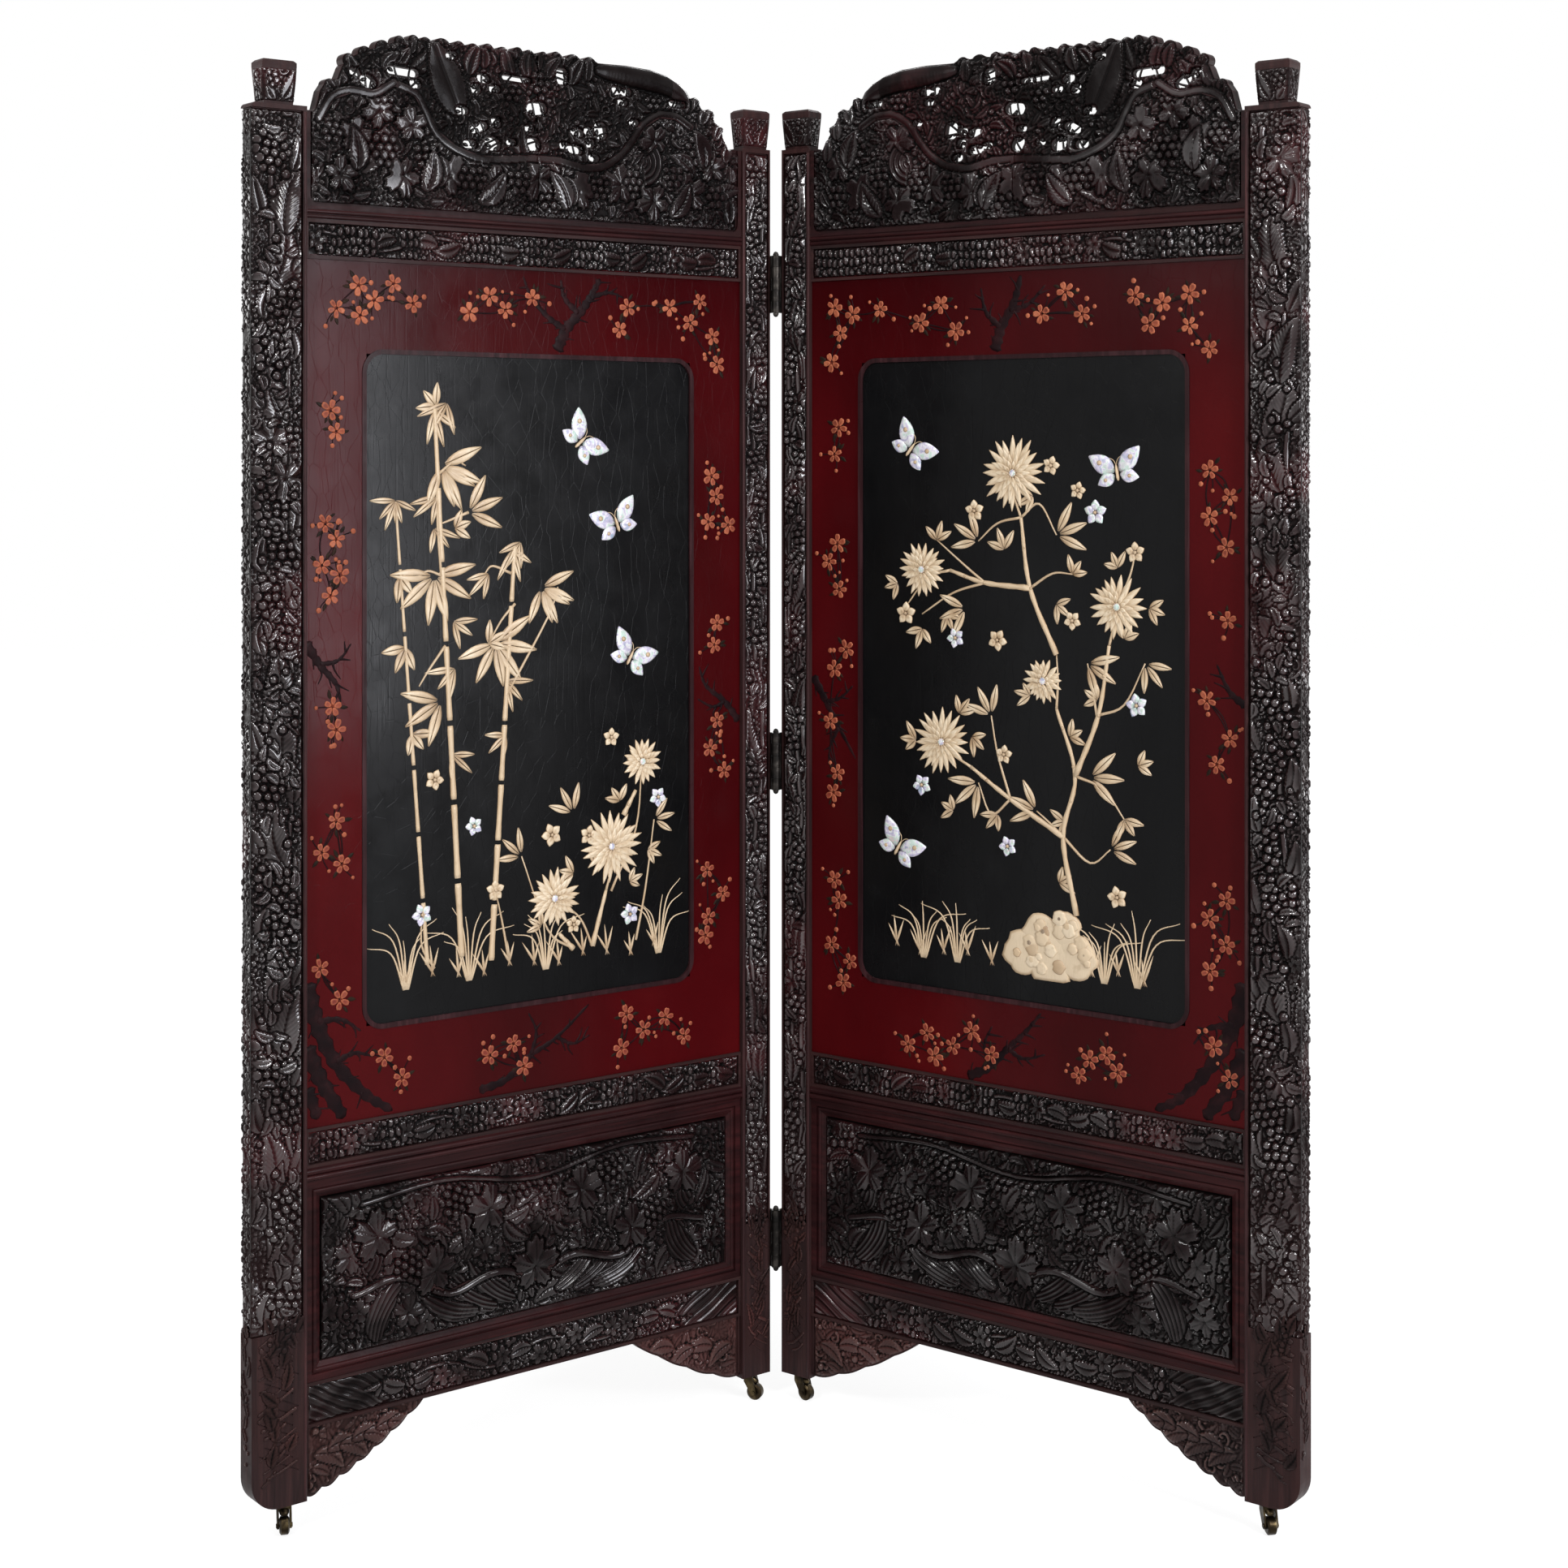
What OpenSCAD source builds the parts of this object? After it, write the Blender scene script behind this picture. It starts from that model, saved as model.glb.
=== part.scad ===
// Two-panel folding screen: carved hardwood frames with pierced crests, a lacquered field with a
// blossom border round an inlaid black panel, three butt hinges and four swivel casters.
// Each panel is drawn once, outward from the hinge pin along x, with its front face towards -y.

/* [Panels] */
// Width of one panel over its two posts
panel_w = 788; // [700:4:860]
// Height of the lacquered field between the carved rails
field_h = 1070; // [900:10:1200]
// Height of the carved lower panel with its moulding
lower_h = 247; // [200:1:300]
// Height of the open arch above the foot of the posts
arch_h = 87; // [70:1:110]
// Angle between the two panels as they stand
open_angle = 105; // [80:5:140]

/* [Posts] */
// Width of the outer post
outer_post_w = 74; // [66:1:90]
// Width of the inner post
inner_post_w = 48; // [46:1:60]
// Depth of the posts, front to back
post_d = 30; // [29:0.5:36]
// Radius of the rounded outer foot
foot_r = 38; // [20:1:42]
// Radius of the outer top corner
top_r = 6; // [2:0.5:12]
// Width of the plain fillet beside the carved strip
fillet_w = 5; // [3:0.5:8]
// Depth of the sunk ground that the carving stands on
ground_d = 4; // [2:0.5:5]
// Height of the hatched foot below the carved strip
hatch_h = 214; // [120:2:260]
// Rise from one hatch groove to the next
hatch_pitch = 13; // [8:0.5:20]
// Height that the posts stand above the shoulders of the crest
post_over = 4; // [2:0.5:12]

/* [Finials] */
// Height of a finial
finial_h = 54; // [40:1:70]
// Width of a finial at its flared head
head_w = 46; // [40:1:46]
// Width of a finial at its foot
neck_w = 39; // [28:1:40]
// Depth of a finial at its flared head
head_d = 30; // [26:1:34]
// Depth of a finial at its foot
neck_d = 24; // [20:1:26]
// Radius of the dowel under a finial
dowel_r = 5; // [3:0.5:6]
// Length of the dowel under a finial
dowel_len = 25; // [15:1:30]

/* [Rails] */
// Height of the carved rail above the lacquered field
upper_rail_h = 49; // [40:1:60]
// Height of the carved rail below the lacquered field
lower_rail_h = 48; // [40:1:60]
// Height of the bottom rail
bottom_rail_h = 55; // [44:1:70]
// Height of the double bead under the crest
crest_bead_h = 13; // [12:0.5:20]
// Height of the double bead over the lower panel
rail_bead_h = 17; // [14:0.5:24]
// Depth of the rails, front to back
rail_d = 24; // [20:0.5:25]
// Distance of the rail fronts behind the post fronts
rail_back = 4; // [2:0.5:5]
// Length of a tenon
tenon_len = 22; // [12:1:24]
// Thickness of a tenon
tenon_t = 10; // [8:0.5:12]
// Shoulder above and below a tenon
tenon_shoulder = 8; // [7:0.5:12]

/* [Boards] */
// Distance of the lacquered border behind the post fronts
border_back = 7; // [6:0.5:9]
// Thickness of the lacquered border
border_t = 10; // [8:0.5:11]
// Width of the lacquered border at the sides
border_side = 85; // [70:1:100]
// Width of the lacquered border at the top and the bottom
border_end = 115; // [90:1:130]
// Corner radius of the black panel
corner_r = 24; // [12:1:40]
// Width of the bead round the black panel
bead_w = 6; // [4:0.5:8]
// Height of that bead above the lacquered border
bead_rise = 1; // [0.5:0.25:2]
// Distance of the black panel behind the border's face
picture_back = 2.5; // [2:0.25:4]
// Height of the inlay above the black panel
inlay_t = 1.6; // [1:0.2:1.8]
// Thickness of the plain board at the back
back_t = 4; // [3:0.5:5]
// Thickness of the carved lower panel
lower_t = 10; // [8:0.5:11]
// Distance of the carved lower panel behind the post fronts
lower_back = 12; // [11:0.5:13]
// Width of the moulding round the lower panel
frame_w = 22; // [20:1:30]
// Depth of a board's tongue in its groove
tongue = 6; // [4:0.5:7]
// Clearance of tongues, tenons and dowels in their seats
joint_gap = 0.2; // [0.1:0.05:0.3]

/* [Crest] */
// Height of the crest at its peak
crest_peak = 228; // [210:2:250]
// Height of the crest's shoulders beside the posts
crest_shoulder = 120; // [100:1:140]
// Thickness of the crest board
crest_t = 16; // [12:0.5:17]
// Thickness of the crest where it is pierced
pierced_t = 8; // [6:0.5:10]
// How much wider than drawn the openings of the crest are
opening_slip = 5; // [0:0.5:5]
// Distance of the crest board behind the post fronts
crest_back = 6; // [5:0.5:8]
// Height of the raised carving on the crest
relief_t = 4; // [2:0.5:5]

/* [Brackets] */
// Length of the bracket beside the outer post
outer_bracket_w = 168; // [120:2:200]
// Length of the bracket beside the inner post
inner_bracket_w = 180; // [120:2:200]
// Thickness of the brackets
bracket_t = 14; // [10:0.5:16]
// Distance of the brackets behind the post fronts
bracket_back = 8; // [5:0.5:10]
// Height of a bracket's lowest point above the foot of its post
bracket_lift = 4; // [2:0.5:10]

/* [Hinges] */
// Distance of the pin in front of the posts
pin_proud = 8; // [8:0.5:10]
// Distance of the post's edge from the pin, along the panel
edge_gap = 4; // [3.5:0.25:5]
// Height of a hinge
leaf_h = 80; // [60:1:100]
// Thickness of a leaf
leaf_t = 2.5; // [2:0.25:3]
// Distance from the pin to the far edge of a leaf
leaf_reach = 34; // [33:0.5:37]
// Radius of the barrel
barrel_r = 6; // [5:0.25:6.5]
// Radius of the hinge pin
pin_r = 2.5; // [2:0.25:3]
// Distance of the end hinges from the ends of the posts
hinge_inset = 188; // [150:2:260]

/* [Casters] */
// Diameter of a wheel
wheel_d = 22; // [20:1:24]
// Width of a wheel
wheel_w = 12; // [9:0.5:12]
// Distance of the axle from the swivel axis
trail = 8; // [5:0.5:9]
// Thickness of a fork's arm
arm_t = 2.5; // [2:0.25:3]
// Radius of the axle
axle_r = 1.5; // [1.2:0.1:2]
// Radius of the stem that the fork turns on
stem_r = 3; // [2.5:0.25:3.5]
// Radius of the plate under the post
plate_r = 10.5; // [10:0.25:11]
// Height of the posts above the floor
caster_h = 36; // [35:0.5:44]
// Distance of the outer caster from the post's inner edge
caster_inset = 24; // [14:1:26]
// Turn of the left outer fork from its panel's outward direction
left_outer_turn = -68; // [-180:1:180]
// Turn of the left inner fork
left_inner_turn = -122; // [-180:1:180]
// Turn of the right inner fork
right_inner_turn = -2; // [-180:1:180]
// Turn of the right outer fork
right_outer_turn = -42; // [-180:1:180]

/* [Hidden] */
SIDE_PARTS = [
    "outer_post", "inner_post", "finials", "crest", "crest_moulding", "upper_rail",
    "lacquer_border", "picture_panel", "picture_bead", "back_panel", "back_beading",
    "bone_inlay", "shell_inlay", "lower_rail", "rail_moulding", "panel_moulding",
    "carved_panel", "bottom_rail", "outer_bracket", "inner_bracket", "hinge_leaves",
    "caster_plates", "screws"
];
CASTERS = ["left_outer", "left_inner", "right_inner", "right_outer"];

$fn = 48;
far = 400;
wood = "#2b1e1c";
moulding_wood = "#4a2423";
brass = "#8a6a3a";
iron = "#3a3733";

// The pin's place: the origin is on the floor, at the middle of the screen's depth
half = (180 - open_angle) / 2;
back_y = (pin_proud + post_d) * cos(half) - edge_gap * sin(half);
front_y = pin_proud * cos(half) - (edge_gap + panel_w) * sin(half);
pin_y = -(back_y + front_y) / 2;

// Levels, from the floor up
foot_z = caster_h;
arch_z = foot_z + arch_h;
lower_z = arch_z + bottom_rail_h;
rail_bead_z = lower_z + lower_h;
lower_rail_z = rail_bead_z + rail_bead_h;
field_z = lower_rail_z + lower_rail_h;
upper_rail_z = field_z + field_h;
crest_bead_z = upper_rail_z + upper_rail_h;
crest_z = crest_bead_z + crest_bead_h;
top_z = crest_z + crest_shoulder + post_over;
rails = [[arch_z, bottom_rail_h], [lower_rail_z, lower_rail_h], [upper_rail_z, upper_rail_h]];
hinge_levels = [foot_z + hinge_inset, (foot_z + top_z) / 2, top_z - hinge_inset];

// Places along the panel, from the pin outward
inner_x = edge_gap + inner_post_w;
outer_x = edge_gap + panel_w - outer_post_w;
end_x = edge_gap + panel_w;
span = outer_x - inner_x;
inner_mid = edge_gap + inner_post_w / 2;
outer_mid = outer_x + outer_post_w / 2;

// Places from front to back
face_y = pin_proud;
mid_y = face_y + post_d / 2;
rail_y = face_y + rail_back;
rail_mid = rail_y + rail_d / 2;
border_y = face_y + border_back;
picture_y = border_y + picture_back;
board_end = border_y + border_t;
lower_y = face_y + lower_back;
crest_y = face_y + crest_back;
bracket_y = face_y + bracket_back;

picture_w = span - 2 * border_side;
picture_h = field_h - 2 * border_end;
rim_w = 4;
rim_rise = 3;
edge_w = 3;
strip_w = 12;
strip_t = 5;

// Hinge and screw sizes
knuckles = 5;
knuckle_h = leaf_h / knuckles;
knuckle_gap = 0.3;
swing_gap = 0.5;
run_gap = 0.05;
screw_r = 1.6;
screw_head_r = 3;
screw_len = 16;
leaf_screws = [[14, -0.38], [26, -0.16], [26, 0.16], [14, 0.38]];
plate_screw_r = 1;
plate_screw_head_r = 1.8;
plate_screw_len = 12;
plate_screw_ring = 8;

// Caster sizes
wheel_gap = 0.5;
plate_t = 2.5;
swivel_gap = 0.3;
socket_r = stem_r + 2.5;
socket_len = 20;
fork_w = wheel_w + 2 * wheel_gap + 2 * arm_t;
crown_z = caster_h - plate_t - swivel_gap;
crown_t = 3;
outer_caster_x = outer_x + caster_inset;

module left_side() translate([0, pin_y, 0]) rotate([0, 0, half]) mirror([1, 0, 0]) children();
module right_side() translate([0, pin_y, 0]) rotate([0, 0, -half]) children();

// Extrudes an outline drawn in x and z from y to y + depth
module upright(y, depth) translate([0, y + depth, 0]) rotate([90, 0, 0]) linear_extrude(depth) children();

// Runs a profile drawn in y and z along x
module run(length) rotate([90, 0, 90]) linear_extrude(length) children();

module block(x0, x1, y0, y1, z0, z1) translate([x0, y0, z0]) cube([x1 - x0, y1 - y0, z1 - z0]);

module round_rect(w, h, r) {
    translate([r, 0]) square([w - 2 * r, h]);
    translate([0, r]) square([w, h - 2 * r]);
    for (x = [r, w - r], z = [r, h - r]) translate([x, z]) circle(r);
}

// A bar with round ends between two points
module bar(a, b, w) {
    reach = norm(b - a);
    translate(a) rotate(atan2(b[1] - a[1], b[0] - a[0])) {
        translate([0, -w / 2]) square([reach, w]);
        circle(w / 2);
        translate([reach, 0]) circle(w / 2);
    }
}

// A pointed leaf from the origin along x
module leaf(length, w) {
    r = (pow(length, 2) / 4 + pow(w, 2) / 4) / w;
    intersection() {
        translate([length / 2, r - w / 2]) circle(r);
        translate([length / 2, w / 2 - r]) circle(r);
    }
}

// A branch that thins from point to point, a little thicker where it bends
module branch(points, w0, w1) {
    last = len(points) - 1;
    for (i = [0:last]) {
        w = w0 + (w1 - w0) * i / last;
        translate(points[i]) circle(w / 2 + 0.4);
        if (i < last) translate(points[i])
            rotate(atan2(points[i + 1][1] - points[i][1], points[i + 1][0] - points[i][0]))
                translate([0, -w / 2]) square([norm(points[i + 1] - points[i]), w]);
    }
}

// One strip of a mitred frame, with its profile drawn in y and z from the outer edge inward
module mitred_strip(length, w) intersection() {
    run(length) children();
    upright(-far / 2, far) polygon([[0, 0], [length, 0], [length - w, w], [w, w]]);
}

module mitred_frame(w, h, strip_w) {
    mitred_strip(w, strip_w) children();
    translate([0, 0, h]) mirror([0, 0, 1]) mitred_strip(w, strip_w) children();
    mirror([1, 0, -1]) mitred_strip(h, strip_w) children();
    translate([w, 0, 0]) mirror([1, 0, 0]) mirror([1, 0, -1]) mitred_strip(h, strip_w) children();
}

// The tenons of the rails, grown by a clearance where they are cut from the posts
module tenons(level, height, gap = 0) block(
    inner_x - tenon_len - gap, outer_x + tenon_len + gap,
    rail_mid - tenon_t / 2 - gap, rail_mid + tenon_t / 2 + gap,
    level + tenon_shoulder - gap, level + height - tenon_shoulder + gap
);

// A board between the posts with its tongues, or its grooves where gap is the clearance
module board(y, t, z0, z1, gap = 0) block(
    inner_x - tongue - gap, outer_x + tongue + gap, y - gap, y + t + gap, z0 - gap, z1 + gap
);

module field_board(gap = 0) board(border_y, border_t, field_z - tongue, upper_rail_z + tongue, gap);
module lower_board(gap = 0) board(lower_y, lower_t, lower_z - tongue, rail_bead_z + tongue, gap);
module crest_board(gap = 0) board(crest_y, crest_t, crest_z, crest_z + crest_shoulder - tongue, gap);

module frame_seats() {
    for (rail = rails) tenons(rail[0], rail[1], joint_gap);
    field_board(joint_gap);
    lower_board(joint_gap);
    crest_board(joint_gap);
}

module at_plate_screws() for (turn = [60, 180, 300])
    rotate(turn) translate([plate_screw_ring, 0, 0]) children();

module foot_holes(x) translate([x, mid_y, foot_z]) {
    translate([0, 0, -1]) cylinder(r = socket_r + joint_gap, h = socket_len + 1 + joint_gap);
    at_plate_screws() translate([0, 0, -1]) cylinder(r = plate_screw_r + run_gap, h = plate_screw_len + 1);
}

module dowel_hole(x) translate([x, mid_y, top_z - dowel_len - joint_gap])
    cylinder(r = dowel_r + joint_gap, h = far);

// Slanting grooves cut in the foot of a post, falling towards the middle of the panel
module hatch(x0, x1, slope) {
    reach = x1 - x0;
    count = floor((hatch_h - foot_r - reach * tan(abs(slope))) / hatch_pitch);
    for (i = [0:count])
        translate([(x0 + x1) / 2, face_y, foot_z + foot_r + reach / 2 * tan(abs(slope)) + i * hatch_pitch])
            rotate([0, slope, 0]) cube([reach * (i % 3 == 0 ? 0.9 : 0.65), 2, 1.6], center = true);
}

// The long recess that the carving of a post stands in
module sunk_ground(x0, x1) block(x0, x1, face_y - 1, face_y + ground_d, foot_z + hatch_h, top_z - top_r);

module outer_post_outline() intersection() {
    translate([outer_x, foot_z]) square([outer_post_w, top_z - foot_z]);
    union() {
        translate([outer_x, foot_z + foot_r]) square([outer_post_w, top_z - top_r - foot_z - foot_r]);
        translate([outer_x, foot_z]) square([outer_post_w - foot_r, foot_r]);
        translate([end_x - foot_r, foot_z + foot_r]) circle(foot_r);
        translate([outer_x, top_z - top_r]) square([outer_post_w - top_r, top_r]);
        translate([end_x - top_r, top_z - top_r]) circle(top_r);
    }
}

// The carving of an outer post runs round its outer edge and along its side
module outer_post() color(wood) difference() {
    upright(face_y, post_d) outer_post_outline();
    sunk_ground(outer_x + fillet_w, end_x + 1);
    block(end_x - edge_w, end_x + 1, face_y, face_y + post_d + 1, foot_z + hatch_h, top_z - top_r);
    hatch(outer_x + fillet_w, end_x - edge_w, -28);
    frame_seats();
    foot_holes(outer_caster_x);
    dowel_hole(outer_mid);
}

module inner_post() color(wood) difference() {
    block(edge_gap, inner_x, face_y, face_y + post_d, foot_z, top_z);
    sunk_ground(edge_gap + edge_w, inner_x - fillet_w);
    hatch(edge_gap + edge_w, inner_x - fillet_w, 40);
    frame_seats();
    foot_holes(inner_mid);
    dowel_hole(inner_mid);
    for (level = hinge_levels) leaf_screws_at(level, run_gap);
}

// A flared square block on a dowel
module flare(foot, head) {
    chamfer = 3;
    swell = 8;
    polygon([
        [-foot / 2, 0], [-head / 2, finial_h - swell], [-head / 2, finial_h - chamfer],
        [chamfer - head / 2, finial_h], [head / 2 - chamfer, finial_h],
        [head / 2, finial_h - chamfer], [head / 2, finial_h - swell], [foot / 2, 0]
    ]);
}

module finial() {
    intersection() {
        upright(-far / 2, far) flare(neck_w, head_w);
        translate([-far / 2, 0, 0]) run(far) flare(neck_d, head_d);
    }
    translate([0, 0, -dowel_len]) cylinder(r = dowel_r, h = dowel_len + 1);
}

module finials() color(wood) for (x = [inner_mid, outer_mid]) translate([x, mid_y, top_z]) finial();

// The edge of the crest, from the inner post: steps of leaves, a smooth curl, and the leaves beyond it
crest_edge = [
    [0, 120], [22, 120], [30, 136], [38, 150], [45, 157], [50, 168], [66, 172], [72, 181], [86, 185],
    [91, 193], [104, 203], [124, 212], [152, 218], [192, 220], [236, 219], [242, 222], [512, 223],
    [532, 219], [552, 213], [582, 202], [606, 191], [616, 178], [622, 163], [637, 159], [646, 146],
    [652, 123], [655, 120], [666, 120]
];

// The crest is drawn as wide as that edge, with a peak of 228 over its shoulders, then fitted to its size
drawn_span = crest_edge[len(crest_edge) - 1][0];
drawn_shoulder = crest_edge[0][1];
drawn_peak = 228;

function crest_x(x) = x * span / drawn_span;
function crest_h(h) = h <= drawn_shoulder ? h * crest_shoulder / drawn_shoulder :
    crest_shoulder + (h - drawn_shoulder) * (crest_peak - crest_shoulder) / (drawn_peak - drawn_shoulder);

// Leaf tips along that edge: place along the span, height of the tip and its radius
leaf_tips = [
    [38, 152, 7], [54, 173, 8], [78, 187, 8], [250, 226, 10], [276, 227, 14], [302, 228, 8], [322, 226, 7],
    [344, 226, 9], [361, 228, 8], [384, 226, 12], [406, 228, 9], [428, 226, 10], [449, 227, 9], [474, 228, 14],
    [498, 227, 9], [515, 228, 8], [535, 225, 8], [559, 217, 11], [584, 207, 10], [606, 196, 9], [632, 162, 8]
];

module crest_outline() {
    edge = [for (spot = crest_edge) [crest_x(spot[0]), crest_h(spot[1])]];
    polygon(concat([[0, 0]], edge, [[span, 0]]));
    for (tip = leaf_tips) translate([crest_x(tip[0]), crest_h(tip[1]) - tip[2]]) circle(tip[2]);
}

// The openings between leaf, stem and fruit: place along the span and height above the base,
// then length, width and turn
openings = [
    [110, 175, 22, 7, 4], [181, 144, 10, 8, 0], [194, 184, 11, 9, 0], [209, 185, 12, 9, 40],
    [200, 170, 11, 8, 0], [235, 129, 22, 13, 80], [253, 127, 11, 9, 0], [252, 111, 11, 9, 90],
    [272, 124, 15, 9, 20], [275, 101, 17, 10, 10], [292, 105, 10, 8, 0], [246, 92, 12, 8, 15],
    [296, 196, 21, 12, 84], [335, 150, 25, 15, -8], [340, 103, 17, 13, 60], [346, 123, 9, 7, 0],
    [366, 186, 38, 6, 3], [374, 103, 9, 7, 0], [397, 127, 12, 8, 70], [402, 99, 19, 15, 30],
    [399, 170, 11, 8, 0], [416, 182, 13, 10, 30], [427, 168, 12, 8, 70], [422, 118, 21, 9, -30],
    [436, 96, 14, 10, 0], [448, 138, 15, 9, 0], [463, 207, 12, 9, -20], [515, 166, 12, 8, 50],
    [533, 180, 40, 10, 3], [582, 163, 19, 11, 35], [600, 172, 12, 8, 60]
];

// Each opening is cut twice, side by side, which leaves it wider than high
module crest_openings() for (hole = openings, slip = [0, -opening_slip]) {
    reach = (hole[2] - hole[3]) / 2;
    translate([crest_x(hole[0]) + slip, crest_h(hole[1])]) rotate(hole[4])
        bar([-reach, 0], [reach, 0], hole[3]);
}

// Where the pierced part is thinned from behind
thinned = [
    [84, 138], [98, 172], [128, 196], [236, 206], [508, 208], [552, 198], [594, 174], [622, 138],
    [590, 120], [512, 98], [456, 76], [262, 66], [205, 80], [166, 126], [120, 144]
];

module crest_thinning() polygon([for (spot = thinned) [crest_x(spot[0]), crest_h(spot[1])]]);

// A five-lobed vine leaf
module vine_leaf(r) {
    circle(r * 0.62);
    for (turn = [-120, -60, 0, 60, 120]) rotate(turn) leaf(r * 1.15, r * 0.75);
}

// Vine leaves: place along the span, height, size and turn
crest_leaves = [
    [52, 92, 14, 80], [150, 120, 14, 60], [92, 54, 16, 150], [150, 40, 16, -20], [204, 58, 16, 20],
    [270, 44, 16, 100], [335, 58, 16, -70], [400, 46, 16, 30], [466, 52, 16, 120], [520, 112, 14, 80],
    [566, 126, 14, 60], [532, 48, 16, -30], [600, 92, 14, 100], [620, 44, 14, 160]
];

// Plain stems that part the openwork from the dense carving under it
crest_stems = [
    [[88, 146], [112, 158], [140, 158], [166, 142], [182, 120], [202, 98], [228, 82], [262, 77], [300, 84],
     [340, 84], [380, 80], [420, 78], [456, 88], [484, 106], [500, 134], [514, 154], [545, 164]],
    [[545, 164], [572, 148], [604, 150], [630, 140], [648, 112]]
];

// The broad smooth leaf: place along the span, height, length, width and turn
horn_leaf = [452, 136, 86, 36, 64];

module crest_relief() {
    for (spot = crest_leaves)
        translate([crest_x(spot[0]), crest_h(spot[1])]) rotate(spot[3]) vine_leaf(spot[2]);
    for (stem = crest_stems) branch([for (spot = stem) [crest_x(spot[0]), crest_h(spot[1])]], 9, 7);
    translate([crest_x(horn_leaf[0]), crest_h(horn_leaf[1])]) rotate(horn_leaf[4])
        leaf(horn_leaf[2], horn_leaf[3]);
}

module crest_rim() difference() {
    square([span, crest_shoulder]);
    translate([rim_w + 2, rim_w + 2]) round_rect(span - 2 * rim_w - 4, crest_peak, 10);
}

module crest() color(wood) difference() {
    union() {
        crest_board();
        translate([inner_x, 0, crest_z]) {
            upright(crest_y, crest_t) crest_outline();
            upright(crest_y - relief_t, relief_t + 1) crest_relief();
            upright(crest_y - rim_rise, rim_rise + 1) crest_rim();
        }
    }
    translate([inner_x, 0, crest_z]) {
        upright(crest_y - relief_t - 1, crest_t + relief_t + 2) crest_openings();
        upright(crest_y + pierced_t, crest_t) crest_thinning();
    }
}

// Two half-round beads one above the other on a plain strip
module double_bead(height) {
    bead = height / 4.6;
    translate([rail_y, 0]) square([rail_d, height]);
    for (z = [height * 0.27, height * 0.73]) translate([rail_y, z]) circle(bead);
}

module crest_moulding() color(moulding_wood)
    translate([inner_x, 0, crest_bead_z]) run(span) double_bead(crest_bead_h);

module rail_moulding() color(moulding_wood) difference() {
    translate([inner_x, 0, rail_bead_z]) run(span) double_bead(rail_bead_h);
    lower_board(joint_gap);
}

// A rail with its tenons and a sunk ground within a plain rim
module carved_rail(level, height) color(wood) difference() {
    union() {
        block(inner_x, outer_x, rail_y, rail_y + rail_d, level, level + height);
        tenons(level, height);
    }
    block(
        inner_x + rim_w, outer_x - rim_w, rail_y - 1, rail_y + ground_d,
        level + rim_w, level + height - rim_w
    );
    field_board(joint_gap);
    lower_board(joint_gap);
}

module upper_rail() carved_rail(upper_rail_z, upper_rail_h);
module lower_rail() carved_rail(lower_rail_z, lower_rail_h);
module bottom_rail() carved_rail(arch_z, bottom_rail_h);

// The border is four mitred boards round the opening of the black panel
module picture_cut(grow) translate([inner_x + border_side - grow, field_z + border_end - grow])
    round_rect(picture_w + 2 * grow, picture_h + 2 * grow, corner_r + grow);

module mitre_wedge(turn) {
    w = span + 2 * tongue;
    h = field_h + 2 * tongue;
    reach = border_end + tongue;
    side = border_side + tongue;
    corner = [[0, 0], [w, 0], [w, h], [0, h]];
    inside = [[side, reach], [w - side, reach], [w - side, h - reach], [side, h - reach]];
    translate([inner_x - tongue, field_z - tongue])
        polygon([corner[turn], corner[(turn + 1) % 4], inside[(turn + 1) % 4], inside[turn]]);
}

module lacquer_border() color("#5a1015") for (turn = [0:3]) difference() {
    intersection() {
        field_board();
        upright(border_y - 1, border_t + 2) mitre_wedge(turn);
    }
    upright(border_y - 1, border_t + 2) picture_cut(bead_w);
}

module picture_panel() color("#1c1f20")
    upright(picture_y, board_end - picture_y) picture_cut(bead_w - joint_gap);

module picture_bead() color("#5c4448") {
    upright(border_y - bead_rise, bead_rise + picture_back) difference() {
        picture_cut(bead_w);
        picture_cut(0);
    }
}

module back_panel() color("#241a19")
    block(inner_x, outer_x, board_end, board_end + back_t, field_z, upper_rail_z);

// A strip with a sloping inner edge holds the back board
module back_profile() translate([board_end + back_t, 0])
    polygon([[0, 0], [strip_t, 0], [strip_t, strip_w / 2], [0, strip_w]]);

module back_beading() color(moulding_wood)
    translate([inner_x, 0, field_z]) mitred_frame(span, field_h, strip_w) back_profile();

// Stepped moulding: an outer flat, a groove, a round bead and a slope down to the carving
module panel_profile() {
    depth = lower_y - face_y;
    flat_y = lower_y - depth * 0.58;
    groove_y = lower_y - depth * 0.38;
    polygon([
        [lower_y, 0], [flat_y, 0], [flat_y, frame_w * 0.4], [groove_y, frame_w * 0.42],
        [groove_y, frame_w * 0.75], [lower_y - depth * 0.12, frame_w], [lower_y, frame_w]
    ]);
    translate([groove_y + depth * 0.05, frame_w * 0.6]) circle(frame_w * 0.13);
}

module panel_moulding() color(moulding_wood)
    translate([inner_x, 0, lower_z]) mitred_frame(span, lower_h, frame_w) panel_profile();

// Leaves and a stem to either side of the lower panel's middle, as shares of its width and height
panel_leaves = [[0.105, 0.18], [0.225, -0.08], [0.35, 0.16]];
panel_stem = [[0, -0.24], [0.09, -0.16], [0.195, -0.22], [0.3, -0.08], [0.4, -0.12]];

function on_panel(spot, side) = [side * spot[0] * span, spot[1] * lower_h];

module carved_panel() color(wood) {
    lower_board();
    translate([inner_x + span / 2, 0, lower_z + lower_h / 2]) upright(lower_y - relief_t, relief_t + 1) {
        for (side = [-1, 1], spot = panel_leaves)
            translate(on_panel(spot, side)) rotate(90 - side * 70) vine_leaf(lower_h * 0.08);
        translate(on_panel([0, -0.18], 1)) rotate(90) vine_leaf(lower_h * 0.09);
        for (side = [-1, 1]) branch([for (spot = panel_stem) on_panel(spot, side)], 8, 5);
    }
}

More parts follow.
